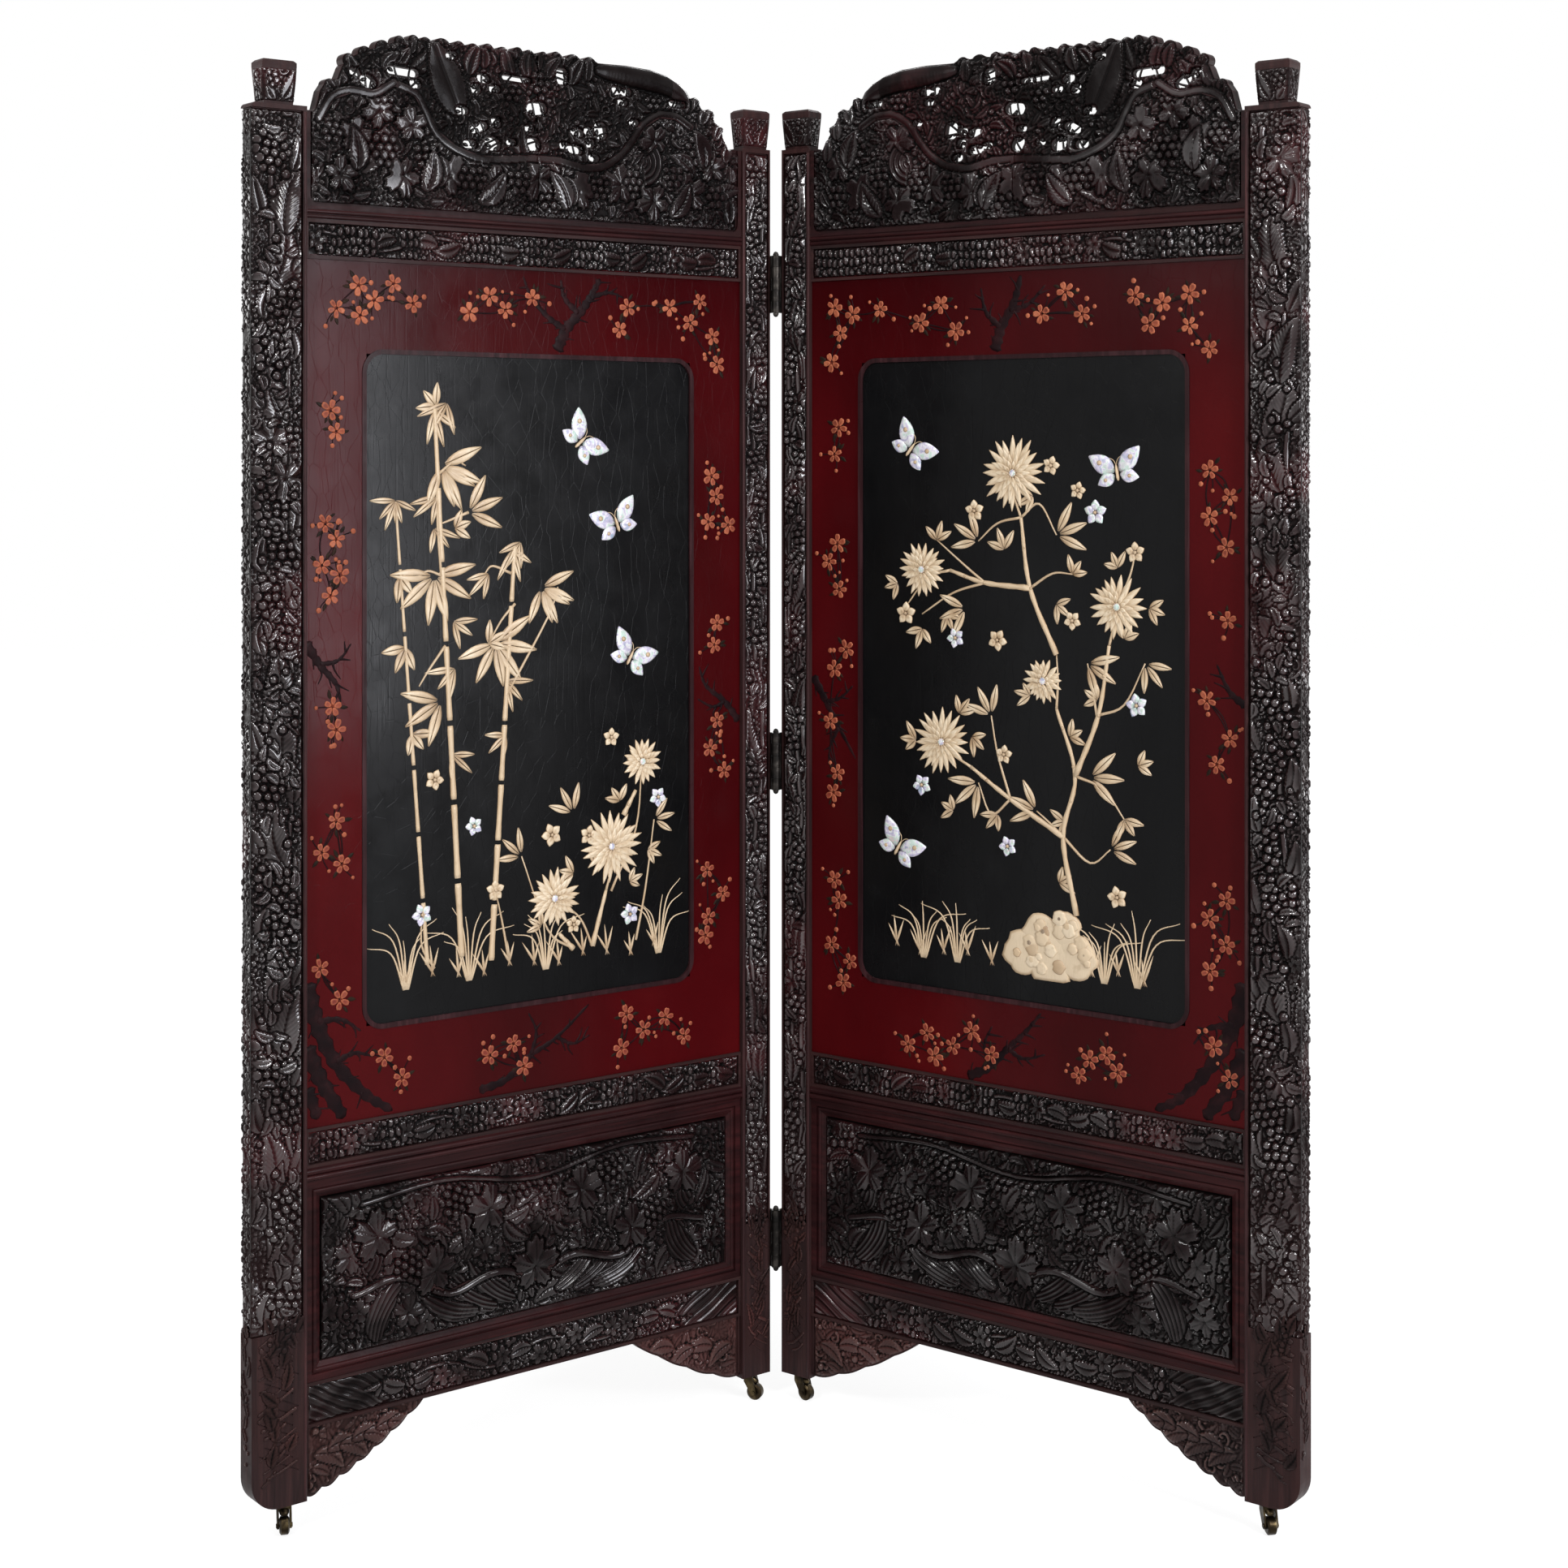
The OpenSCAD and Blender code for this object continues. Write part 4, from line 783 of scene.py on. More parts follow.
def post_carving(rng, relief, width, left):
    """A vine that climbs a post between bunches of grapes and long leaves."""
    middle = left + width / 2
    wide = width / 66
    relief.foliage(rng, 34, 0.85, 0.5, 0.9)
    for hand in (-1, 1):
        v, climb = CARVED_FROM, []
        while v < CARVED_TO:
            climb.append((middle + hand * width * 0.26 * rng.uniform(0.2, 1.2), v))
            v += rng.uniform(50, 80)
        relief.stem(climb, 2.6 + wide, 1.6)
    level, hand = CARVED_FROM + 6, 1
    while level < CARVED_TO - 60:
        hand = -hand
        kind = rng.uniform()
        u, beside = middle + hand * width * 0.14, middle - hand * width * 0.3
        lean = math.pi / 2 + rng.uniform(-0.35, 0.35)
        if kind < 0.42:
            rows = (3, 4, 4, 3, 2) if wide > 0.8 else (2, 3, 2, 2)
            relief.bunch(rng, u, level + 48, rng.uniform(-0.3, 0.3), rows, 4.6 + 1.3 * wide, 1.0)
            relief.leaf(beside, level + 6, 46, 20 * wide + 3, lean, 1.6, 3.6, 2.0, hand * 2.0, hand * 0.25)
            level += 50
        elif kind < 0.8:
            relief.leaf(u, level - 6, 84, 40 * wide, lean, 1.4, 4.2, 2.5, -hand * 3.0, hand * 0.22, 6.5)
            relief.leaf(beside, level + 14, 52, 20 * wide + 2, lean + hand * 0.5, 1.0, 3.4, 2.0, 2.0)
            level += 66
        else:
            turn, tilt = rng.uniform(0, SPIN), rng.uniform(-2, 2)
            relief.vine_leaf(u, level + 20, 27 * wide + 2, turn, 1.4, 4.4, tilt)
            relief.bunch(rng, beside, level + 34, 0.0, (2, 2, 1), 4.6, 1.4)
            level += 46
    for _ in range(int(relief.U.size * GRID ** 2 / 520)):
        u, v = rng.uniform(left + 6, left + width - 8), rng.uniform(CARVED_FROM + 10, CARVED_TO - 20)
        if rng.uniform() < 0.5:
            long, across, turn = rng.uniform(18, 30), rng.uniform(9, 14), rng.uniform(0, SPIN)
            tilt, lean = rng.uniform(-3, 3), rng.uniform(-3, 3)
            relief.leaf(u, v, long, across, turn, 3.2, 3.2, tilt, lean, either(rng, 0.3))
        else:
            relief.berry(u, v, rng.uniform(4.2, 6.4), rng.uniform(1.5, 3.0))
    relief.swell(rng, 2.6, 52)
    relief.h = np.minimum(relief.h, 10.5)


def fringe(name, side, relief, place):
    """Shallow separate leaves on a plain face."""
    relief.h = np.minimum(np.where(relief.h < 0.1, LOW, relief.h), 1.9)
    relief.soften()
    relief.dim = np.full(relief.h.shape, 0.66)
    carved_piece(name, side, relief.solid(place, cells_where(relief.h, 0.0)), "reddish")


def foot_carving(rng, name, side, u0, u1, hand):
    """Shallow leaves and slanting lines on the foot of a post, thinning out downward."""
    foot = Relief(u0, u1, 62.0, CARVED_FROM + 44)
    foot.h[:] = LOW
    middle = (u0 + u1) / 2
    wide = (u1 - u0) / 66
    for v in np.arange(70, 240, 8.0):
        start, long = rng.uniform(-26, 6) * wide, rng.uniform(16, 44) * wide
        end = min(start + long, 28 * wide)
        line = [(middle + hand * start, v + 12), (middle + hand * (start + long / 2), v + 4),
                (middle + hand * end, v + rng.uniform(-3, 1))]
        foot.stem(line, rng.uniform(1.4, 3.2), -0.7, moat=0)
    for v in np.arange(88, CARVED_FROM + 4, 15.0):
        spot, long, turn = middle + rng.uniform(-18, 18) * wide, rng.uniform(24, 44), rng.uniform(0.7, 2.4)
        foot.leaf(spot, v, long, 17 * wide, turn, 0.0, 2.0, 0, 0, rng.uniform(-0.3, 0.3), 5.0)
    for v in np.arange(CARVED_FROM - 24, CARVED_FROM + 10, 6.0):
        spot, long, turn = middle + rng.uniform(-28, 28) * wide, rng.uniform(24, 34), rng.uniform(0.9, 2.2)
        foot.leaf(spot, v, long, 15 * wide, turn, 0.2, 2.2, 0, 0, 0.2, 5.0)
        foot.berry(middle + rng.uniform(-28, 28) * wide, v, 4.0, -0.6)
    fringe(name, side, foot, on_front(FACE_Y))


def foot_edge(rng, side):
    """The carving of the outer edge, running out down the foot."""
    edge = Relief(FACE_Y + 1.5, 36.5, 80.0, CARVED_FROM + 12)
    edge.h[:] = LOW
    for v in np.arange(84, CARVED_FROM + 6, 5.0):
        if rng.uniform() < (v - 40) / 190:
            edge.berry(rng.uniform(14, 32), v, rng.uniform(2.6, 4.6), -0.8)
    for v in np.arange(120, CARVED_FROM + 4, 16.0):
        edge.leaf(rng.uniform(16, 30), v, 24, 11, rng.uniform(0.9, 2.2), 0.0, 2.0)
    room = np.minimum(edge.U - FACE_Y - 1.0, (38.0 - edge.U) * 0.6)
    edge.h = np.where(edge.h > 0, np.minimum(edge.h, room), edge.h)
    fringe("outer_foot_edge_carving", side, edge, on_end(0))


def finial_carving(rng, name, side, middle):
    """Leaves and fruit on the front and sides of a finial."""
    block = Relief(-FINIAL_HALF - 21, FINIAL_HALF + 21, 3.0, FINIAL_H - 3, FINIAL_GRID)
    block.foliage(rng, 26, 0.8, 0.4, 0.8)
    block.leaf(-4, 6, 40, 19, 1.9, 1.2, 3.0, 1.5, 1.0, 0.2)
    block.leaf(6, 4, 36, 16, 1.2, 1.2, 3.0, 1.5, 1.0, -0.2)
    block.bunch(rng, 9, 36, 0.3, (2, 3, 2), 3.6, 1.2)
    corner = np.abs(np.abs(block.U) - FINIAL_HALF)
    block.h = np.minimum(np.minimum(block.h, 2.8), 0.5 + corner * 0.6)

    def place(u, v, h):
        grow = v / FINIAL_H
        half, deep = FINIAL_HALF + 3.5 * grow, FINIAL_DEEP + 3.0 * grow
        beyond = np.maximum(np.abs(u) - FINIAL_HALF, 0)
        front = beyond == 0
        x = np.where(front, u * half / FINIAL_HALF, np.sign(u) * (half + h))
        y = POST_MIDDLE_Y - deep + np.where(front, -h, beyond * deep / FINIAL_DEEP)
        return np.stack([middle + x, y, FINIAL_Z + v], -1)
    carve(name, side, block, place, "upright", 0.6)


def post_pieces(side, seed):
    rng = np.random.default_rng(seed)
    outer = Relief(OUTER_X + 5.2, END_X - 0.3, CARVED_FROM, CARVED_TO)
    post_carving(rng, outer, 66, OUTER_X + 5)
    outer.h = np.minimum(outer.h, 3.7 + (END_X - outer.U) * 0.4)
    inner = Relief(7.2, INNER_X - 5.2, CARVED_FROM, CARVED_TO)
    post_carving(rng, inner, 40, 7)
    for name, relief, edges in (("outer", outer, "lt"), ("inner", inner, "lrbt")):
        relief.h = np.minimum(relief.h, 4.4 + (relief.V - CARVED_FROM) * 0.1)
        carve(f"{name}_post_carving", side, relief, on_front(POST_GROUND), "upright", 0.5, edges)
    end = Relief(POST_GROUND + 0.3, 37.7, CARVED_FROM, CARVED_TO)
    end.foliage(rng, 30, 1.0, 0.62, 0.4)
    end.h = np.minimum(end.h, 2.85)
    carve("outer_edge_carving", side, end, on_end(3), "upright", 0.5, "t")
    foot_carving(rng, "outer_foot_carving", side, OUTER_X + 6, END_X - 5, 1)
    foot_carving(rng, "inner_foot_carving", side, 6.5, INNER_X - 5.5, -1)
    foot_edge(rng, side)
    for name, middle in FINIALS.items():
        finial_carving(rng, f"{name}_finial_carving", side, middle)


RAILS = {
    # Name: level of its foot, height, share of egg-shaped fruit
    "upper_rail_carving": (UPPER_RAIL_Z, 49.0, 0.75),
    "lower_rail_carving": (LOWER_RAIL_Z, 48.0, 0.45),
    "bottom_rail_carving": (ARCH_Z, 55.0, 0.25),
}


def slanting_ends(rail):
    """Slanting ridges over both ends of a rail."""
    for end, hand in ((rail.u[0], 1), (rail.u[-1], -1)):
        near = np.abs(rail.U - end) < 96 + 14 * np.sin(rail.V / 4.6 + end) + 7 * np.sin(rail.V / 1.9)
        slope = rail.U * 0.42 * hand + rail.V + 0.0016 * (rail.U - end) ** 2 + 2.2 * np.sin(rail.U / 13)
        lines = 1.0 + 1.3 * np.abs(np.cos(slope * math.pi / 11)) ** 1.5 + 0.5 * np.sin(slope * math.pi / 3.1)
        lines += 0.9 * np.sin(rail.U / 9 + rail.V / 5)
        rail.h = np.where(near, lines, rail.h)


def rail_pieces(side, seed):
    rng = np.random.default_rng(seed)
    for name, (level, height, eggs) in RAILS.items():
        rail = Relief(INNER_X + 4.3, OUTER_X - 4.3, level + 4.3, level + height - 4.3)
        low, high = rail.v[0], rail.v[-1]
        middle = (low + high) / 2
        rail.foliage(rng, 30, 0.8, 0.4, 0.9)
        wave = [(u, middle + 10 * math.sin(u / 26)) for u in np.arange(rail.u[0], rail.u[-1], 22.0)]
        rail.stem(wave, 2.6, 1.4)
        u = rail.u[0] + 8
        while u < rail.u[-1] - 12:
            pick = rng.uniform()
            if pick < eggs:
                for v in (low + 7, middle, high - 7):
                    spot = (u + rng.uniform(-2, 2), v + rng.uniform(-3, 3))
                    size, lift = rng.uniform(3.4, 4.4), rng.uniform(1.2, 3.0)
                    rail.berry(*spot, size, lift, 1.6, rng.uniform(-0.3, 0.3))
                u += 9.5
            elif pick < 0.5 + eggs / 2:
                v, turn = rng.uniform(low + 12, high - 12), rng.uniform(0, SPIN)
                rail.vine_leaf(u + 12, v, 16, turn, 1.4, 3.6, rng.uniform(-2, 2))
                u += 24
            else:
                lean = rng.uniform(-0.6, 0.6)
                rail.leaf(u, middle - 14 * lean, 42, 20, lean, 1.4, 3.6, 2.0, 2.0, either(rng, 0.25))
                u += 32
        if name == "bottom_rail_carving":
            slanting_ends(rail)
        carve(name, side, rail, on_front(RAIL_GROUND), "across", 0.3)


def panel_pieces(side, seed):
    rng = np.random.default_rng(seed)
    panel = Relief(INNER_X + 22.5, OUTER_X - 22.5, LOWER_Z + 22.5, BEAD_Z - 22.5)
    tall = BEAD_Z - LOWER_Z

    def at(share_u, share_v, hand=1):
        return MIDDLE_X + hand * share_u * CREST_W, LOWER_Z + 123.5 + share_v * tall
    panel.foliage(rng, 70, 1.4, 0.3, 1.2, big=0.16)
    for _ in range(88):
        u, v = rng.uniform(panel.u[0] + 20, panel.u[-1] - 20), rng.uniform(panel.v[0] + 16, panel.v[-1] - 16)
        if rng.uniform() < 0.55:
            long, wide, turn = rng.uniform(38, 56), rng.uniform(16, 24), rng.uniform(0, SPIN)
            base, tilt, lean = rng.uniform(1, 3.5), rng.uniform(-3, 3), rng.uniform(-3, 3)
            panel.leaf(u, v, long, wide, turn, base, 3.8, tilt, lean, either(rng, 0.3), 5.5)
        else:
            r, turn, base = rng.uniform(17, 26), rng.uniform(0, SPIN), rng.uniform(1, 3.5)
            panel.vine_leaf(u, v, r, turn, base, 4.2, rng.uniform(-3, 3))
    for hand in (-1, 1):
        for share_u, share_v, turn in ((0.055, -0.36, 48), (0.095, -0.38, 56), (0.135, -0.38, 66)):
            slant = math.radians(90 - hand * turn)
            panel.blades(*at(share_u, share_v, hand), 96, 26, slant, 5.6, 2.2, 3.0, 0.1 * hand)
        panel.blades(*at(0.37, -0.36, hand), 84, 36, math.radians(90 + hand * 30), 6.0, 1.8, 2.8)
        panel.fan(*at(0.39, 0.05, hand), 6, 36, math.radians(90 + hand * 60), 1.4, 7.5, 1.8)
        vine = ((0, -0.24), (0.09, -0.16), (0.195, -0.22), (0.3, -0.08), (0.4, -0.12))
        panel.stem([at(a, b, hand) for a, b in vine], 5.4, 3.6, 4.0)
        for share_u, share_v in ((0.105, 0.18), (0.225, -0.08), (0.35, 0.16)):
            panel.proud_leaf(*at(share_u, share_v, hand), 36, math.radians(90 - hand * 70))
        panel.bunch(rng, *at(0.165, 0.34, hand), hand * 0.4, (3, 4, 4, 3, 2), 5.4, 2.6)
        panel.bunch(rng, *at(0.29, 0.02, hand), -hand * 0.4, (3, 4, 3, 2), 5.2, 2.6)
        panel.bunch(rng, *at(0.03, 0.3, hand), 0.0, (2, 3, 2), 5.4, 2.6)
    panel.swell(rng, 3.4, 75)
    panel.proud_leaf(*at(0, -0.18), 39, math.pi / 2, tilt=1.0)
    panel.stem([at(-0.38, 0.34), at(-0.2, 0.37), at(0, 0.29), at(0.2, 0.37), at(0.38, 0.33)], 3.6, 2.4)
    carve("lower_panel_carving", side, panel, on_front(PANEL_GROUND), "quiet", 0.3)


# The crest, in millimetres from its lower inner corner

CREST_EDGE = [
    (0, 120), (22, 120), (30, 136), (38, 150), (45, 157), (50, 168), (66, 172), (72, 181), (86, 185),
    (91, 193), (104, 203), (124, 212), (152, 218), (192, 220), (236, 219), (242, 222), (512, 223),
    (532, 219), (552, 213), (582, 202), (606, 191), (616, 178), (622, 163), (637, 159), (646, 146),
    (652, 123), (655, 120), (666, 120),
]
# Each leaf tip: its place, then its radius
LEAF_TIPS = [
    (38, 152, 7), (54, 173, 8), (78, 187, 8), (250, 226, 10), (276, 227, 14), (302, 228, 8),
    (322, 226, 7), (344, 226, 9), (361, 228, 8), (384, 226, 12), (406, 228, 9), (428, 226, 10),
    (449, 227, 9), (474, 228, 14), (498, 227, 9), (515, 228, 8), (535, 225, 8), (559, 217, 11),
    (584, 207, 10), (606, 196, 9), (632, 162, 8),
]
# Each opening: its middle, length, width and turn in degrees
OPENINGS = [
    (110, 175, 22, 7, 4), (181, 144, 10, 8, 0), (194, 184, 11, 9, 0), (209, 185, 12, 9, 40),
    (200, 170, 11, 8, 0), (235, 129, 22, 13, 80), (253, 127, 11, 9, 0), (252, 111, 11, 9, 90),
    (272, 124, 15, 9, 20), (275, 101, 17, 10, 10), (292, 105, 10, 8, 0), (246, 92, 12, 8, 15),
    (296, 196, 21, 12, 84), (335, 150, 25, 15, -8), (340, 103, 17, 13, 60), (346, 123, 9, 7, 0),
    (366, 186, 38, 6, 3), (374, 103, 9, 7, 0), (397, 127, 12, 8, 70), (402, 99, 19, 15, 30),
    (399, 170, 11, 8, 0), (416, 182, 13, 10, 30), (427, 168, 12, 8, 70), (422, 118, 21, 9, -30),
    (436, 96, 14, 10, 0), (448, 138, 15, 9, 0), (463, 207, 12, 9, -20), (515, 166, 12, 8, 50),
    (533, 180, 40, 10, 3), (582, 163, 19, 11, 35), (600, 172, 12, 8, 60),
]
# How far an opening's second, overlapping cut lies from its first, and what counts as wide
OPENING_SLIP, WIDE_OPENING = 5.0, 18
# Each vine leaf: its place, size and turn in degrees
CREST_LEAVES = [
    (52, 92, 14, 80), (150, 120, 14, 60), (92, 54, 16, 150), (150, 40, 16, -20), (204, 58, 16, 20),
    (270, 44, 16, 100), (335, 58, 16, -70), (400, 46, 16, 30), (466, 52, 16, 120), (520, 112, 14, 80),
    (566, 126, 14, 60), (532, 48, 16, -30), (600, 92, 14, 100), (620, 44, 14, 160),
]
# Each bunch of grapes: its place, the radius of a grape and its rows
CREST_BUNCHES = [
    (75, 128, 5.4, (3, 4, 3, 2)), (47, 62, 5.4, (2, 3, 2)), (118, 84, 5.2, (3, 3, 2)),
    (184, 74, 5.4, (2, 3, 2, 1)), (236, 60, 5.2, (3, 3, 2)), (310, 34, 5.6, (4, 3)),
    (364, 60, 5.4, (3, 3, 2)), (432, 62, 5.6, (3, 4, 3)), (500, 84, 5.2, (3, 3, 2)),
    (560, 92, 5.6, (3, 4, 3, 2)), (632, 104, 5.0, (2, 3, 2)), (330, 192, 5.0, (3, 3, 2)),
    (372, 168, 5.0, (3, 2)), (560, 150, 4.8, (2, 3)), (150, 176, 4.6, (3, 2)),
]
# Each long leaf: its place and its turn in degrees
LONG_LEAVES = [(500, 30, 100), (286, 20, 60), (120, 20, 120), (596, 50, 80), (64, 90, 70), (420, 20, 130)]
# Where the leaves of both shoulders start
SHOULDER_LEAVES = [(30, 100), (46, 130), (70, 150), (88, 166), (644, 118), (622, 150)]
CREST_STEMS = [
    [(88, 146), (112, 158), (140, 158), (166, 142), (182, 120), (202, 98), (228, 82), (262, 77), (300, 84),
     (340, 84), (380, 80), (420, 78), (456, 88), (484, 106), (500, 134), (514, 154), (545, 164)],
    [(545, 164), (572, 148), (604, 150), (630, 140), (648, 112)],
]
# The smooth curl on the inner shoulder, its radius along it, and the limit of crest_room
CREST_CURL = [
    (92, 168), (95, 178), (105, 188), (124, 197), (152, 203), (192, 206), (222, 208), (238, 209),
]
CREST_CURL_R = [4, 8, 11, 13, 14.5, 13, 10, 6]
CREST_ROOM = 4.0


def within(polygon, x, y):
    """Which points of a grid lie in a polygon."""
    inside = np.zeros(x.shape, bool)
    for (x0, y0), (x1, y1) in zip(polygon, polygon[1:] + polygon[:1]):
        if y0 != y1:
            crosses = ((y0 > y) != (y1 > y)) & (x < (x1 - x0) * (y - y0) / (y1 - y0) + x0)
            inside ^= crosses
    return inside


def crest_room(x, h):
    """How far each point lies inside the crest board, clear of its edge and its openings, up to a limit."""
    room = np.where(within([(0, 0)] + CREST_EDGE + [(CREST_W, 0)], x, h), CREST_ROOM, -CREST_ROOM)
    for (x0, y0), (x1, y1) in zip(CREST_EDGE, CREST_EDGE[1:]):
        length = math.hypot(x1 - x0, y1 - y0)
        t = np.clip(((x - x0) * (x1 - x0) + (h - y0) * (y1 - y0)) / length ** 2, 0, 1)
        away = np.hypot(x - x0 - t * (x1 - x0), h - y0 - t * (y1 - y0))
        room = np.sign(room) * np.minimum(np.abs(room), away)
    for tx, th, r in LEAF_TIPS:
        room = np.maximum(room, np.minimum(CREST_ROOM, r - np.hypot(x - tx, h - (th - r))))
    for ox, oh, length, width, turn in OPENINGS:
        reach = (length - width) / 2
        for slip in (0.0, OPENING_SLIP):
            a, b = rotated(x - ox + slip, h - oh, -math.radians(turn))
            room = np.minimum(room, np.hypot(a - np.clip(a, -reach, reach), b) - width / 2)
    return room


def on_crest(x, h):
    return INNER_X + x, CREST_Z + h


def crest_ground(crest, draw, u0, u1):
    """Fruit, leaves and curls all over the board, drawn for the whole crest so that both halves meet."""
    spots = [
        (x, h, draw.uniform(0, SPIN), draw.uniform(), draw.uniform(0.5, 3.2))
        for x, h in zip(draw.uniform(8, 658, 3600), draw.uniform(8, 224, 3600))
    ]
    for x, h, turn, kind, lift in spots:
        if not u0 - 40 < x < u1 + 40:
            continue
        if kind < 0.4:
            crest.berry(*on_crest(x, h), 3.0 + 4 * kind, lift)
        elif kind < 0.9:
            size = (14 + 16 * kind, 5 + 8 * kind)
            crest.leaf(*on_crest(x, h), *size, turn, lift, 3.2, 2.0, 2.0, kind - 0.6)
        else:
            crest.tendril(*on_crest(x, h), 18, turn, 1, 1.8, 1.0 + lift)
    for k, x in enumerate(np.arange(20, 650, 30.0)):
        spot = on_crest(x, 22 + 26 * (k % 3) + draw.uniform(-6, 6))
        crest.leaf(*spot, 50, 24, draw.uniform(0.3, 2.8), 1.8, 4.2, 2.5, 2.5, (-1) ** k * 0.25, 6.0)


def crest_foreground(crest, draw):
    """The leaves, bunches and stems that stand out of the ground."""
    for x, h, r, turn in CREST_LEAVES:
        crest.proud_leaf(*on_crest(x, h), r * 1.9, math.radians(turn), 4.5, 4.2, 1.2)
    for x, h, r, rows in CREST_BUNCHES:
        crest.bunch(draw, *on_crest(x, h), 0.0, rows, r, 2.4)
    for x, h, turn in LONG_LEAVES:
        crest.leaf(*on_crest(x, h), 56, 28, math.radians(turn), 4.6, 3.6, 2.5, 2.0, 0.2, 6.5)
    crest.fan(*on_crest(168, 92), 6, 34, math.radians(200), 1.1, 8, 2.4)
    x = 256
    while x < 640:
        top = np.interp(x, *zip(*CREST_EDGE))
        size = draw.uniform(0.7, 1.25)
        turn, lean = math.radians(90 + draw.uniform(-50, 50)), draw.uniform(-3, 3)
        bend = draw.uniform(-0.3, 0.3)
        spot = on_crest(x, top - 32 * size)
        crest.leaf(*spot, 36 * size, 20 * size, turn, 2.4, 4.2, 2.5, lean, bend, 5.0)
        x += draw.uniform(14, 30)
    for x, h in SHOULDER_LEAVES:
        crest.leaf(*on_crest(x, h), 34, 18, math.radians(90 + draw.uniform(-30, 30)), 2.4, 3.8, 2.0, 2.0)
    crest.swell(draw, 3.2, 62)
    for stem in CREST_STEMS:
        crest.stem([on_crest(*p) for p in stem], 5.3, 4.1, squash=0.1)
    crest.leaf(*on_crest(450, 130), 106, 50, math.radians(66), 5.2, 2.6, 0.5, 0.5, 0.0, 60.0)
    crest.stem([on_crest(*p) for p in CREST_CURL], CREST_CURL_R, 2.2, squash=0.5, moat=2)


def crest_pieces(side, seed):
    for part, u0, u1 in (("inner", 6.5, 333.0), ("outer", 333.0, 659.5)):
        crest = Relief(INNER_X + u0 - 40, INNER_X + u1 + 40, CREST_Z + 6.5, CREST_Z + 227.5, CREST_GRID)
        draw = np.random.default_rng(seed)
        crest_ground(crest, draw, u0, u1)
        crest_foreground(crest, draw)
        x, h = crest.U - INNER_X, crest.V - CREST_Z
        room = crest_room(x, h)
        crest.soften()
        crest.h = np.minimum(crest.h, room * 2.6 - 1.0)
        band = np.interp(x, *zip(*CREST_STEMS[0]))
        # Painted shade: the upper openwork, above the band, is darkened.
        crest.dim = np.where((h > band + 5) & (x > 120), 0.6, 1.0)
        middle = (crest.U[:-1, :-1] + crest.U[1:, 1:]) / 2 - INNER_X
        cells = cells_where(room, 0.15) & (middle > u0) & (middle < u1)
        rim = (x < 8) | (x > CREST_W - 8) | (h < 8)
        crest.h = np.maximum(np.where(rim, LOW, crest.h), LOW)
        carved_piece(f"crest_carving_{part}", side, crest.solid(on_front(CREST_GROUND), cells), "quiet")


def openwork_pieces(side, seed):
    """Twigs across the openings of the crest, and small leaves that reach into them."""
    rng = np.random.default_rng(seed)
    drawing = Drawing()
    for ox, oh, length, width, turn in OPENINGS:
        middle = np.array(on_crest(ox - OPENING_SLIP / 2, oh))
        along = np.array(rotated(1.0, 0.0, math.radians(turn)))
        wide = length > WIDE_OPENING
        for k in range(2 if wide else 1):
            spot = middle + along * length * ((k - 0.5) * 0.5 if wide else rng.uniform(-0.2, 0.2))
            lean = math.radians(turn + 90) + rng.uniform(-0.7, 0.7)
            reach = np.array(rotated(1.0, 0.0, lean)) * (width / 2 + 7)
            twig = [spot - reach, spot + rng.uniform(-1.5, 1.5, 2), spot + reach]
            drawing.line(twig, 1.7, 1.2, 4, CREST_GROUND - 0.8, 0.9, 8, 0.75)
        for k in range(3 if wide else 2):
            angle = rng.uniform(0, SPIN)
            across = np.array([-along[1], along[0]]) * (math.sin(angle) * (width / 2 + 3))
            rim = middle + along * math.cos(angle) * (length / 2 + 3) + across
            inward = math.atan2(*(middle - rim)[::-1]) + rng.uniform(-0.7, 0.7)
            size = rng.uniform(7, 11)
            shape = leaf_outline(*rim, size, size * 0.55, inward)
            drawing.pillow(shape, CREST_GROUND + 0.6, ((1.0, 1.4), (0.8, 2.8), (0.4, 3.4)), 0.75)
    drawn_piece("openwork_leaves", side, drawing, MATERIALS[side]["openwork"], shaded=True)


BRACKETS = {
    # Part: length, leaves and lobes, depth of the lobes, whether it is mirrored
    "inner": (180, 4, 3, False),
    "outer": (168, 7, 5, True),
}
BRACKET_H, BRACKET_CURVE = 83, 1.45


def bracket_pieces(side, seed):
    rng = np.random.default_rng(seed)
    for part, (length, lobes, depth, mirrored) in BRACKETS.items():
        relief = Relief(0.4, length - 6, -BRACKET_H - 1.0, -0.6)
        relief.foliage(rng, 60, 1.1, 0.1, 0.5)
        for k in range(lobes):
            u = 14 + k * (length - 50) / lobes
            v = -6 - 60 * (1 - (u / length) ** BRACKET_CURVE) * 0.5
            relief.leaf(u, v, 46, 22, math.radians(-32 + 30 * (k % 2)), 1.0, 2.8, 1.0, 1.0, 0.3, 5.5)
        s = relief.U / length
        lobed = depth * np.abs(np.sin(math.pi * lobes * s)) * (1 - s * 0.4)
        room = relief.V + BRACKET_H * (1 - s ** BRACKET_CURVE) + lobed
        relief.h = np.where(relief.U < 6, LOW, np.minimum(relief.h, room - 2.0))
        relief.soften()
        relief.h = np.clip(relief.h, LOW, 4.2)
        cells = np.minimum(room[:-1, :-1], room[1:, :-1]) > 1.2
        points, faces, shade = relief.solid(on_front(BRACKET_GROUND), cells)
        points[:, 2] += ARCH_Z
        if mirrored:
            points[:, 0] = OUTER_X - points[:, 0]
            faces = [f[::-1] for f in faces]
        else:
            points[:, 0] += INNER_X
        carved_piece(f"{part}_bracket_carving", side, (points, faces, shade), "reddish")


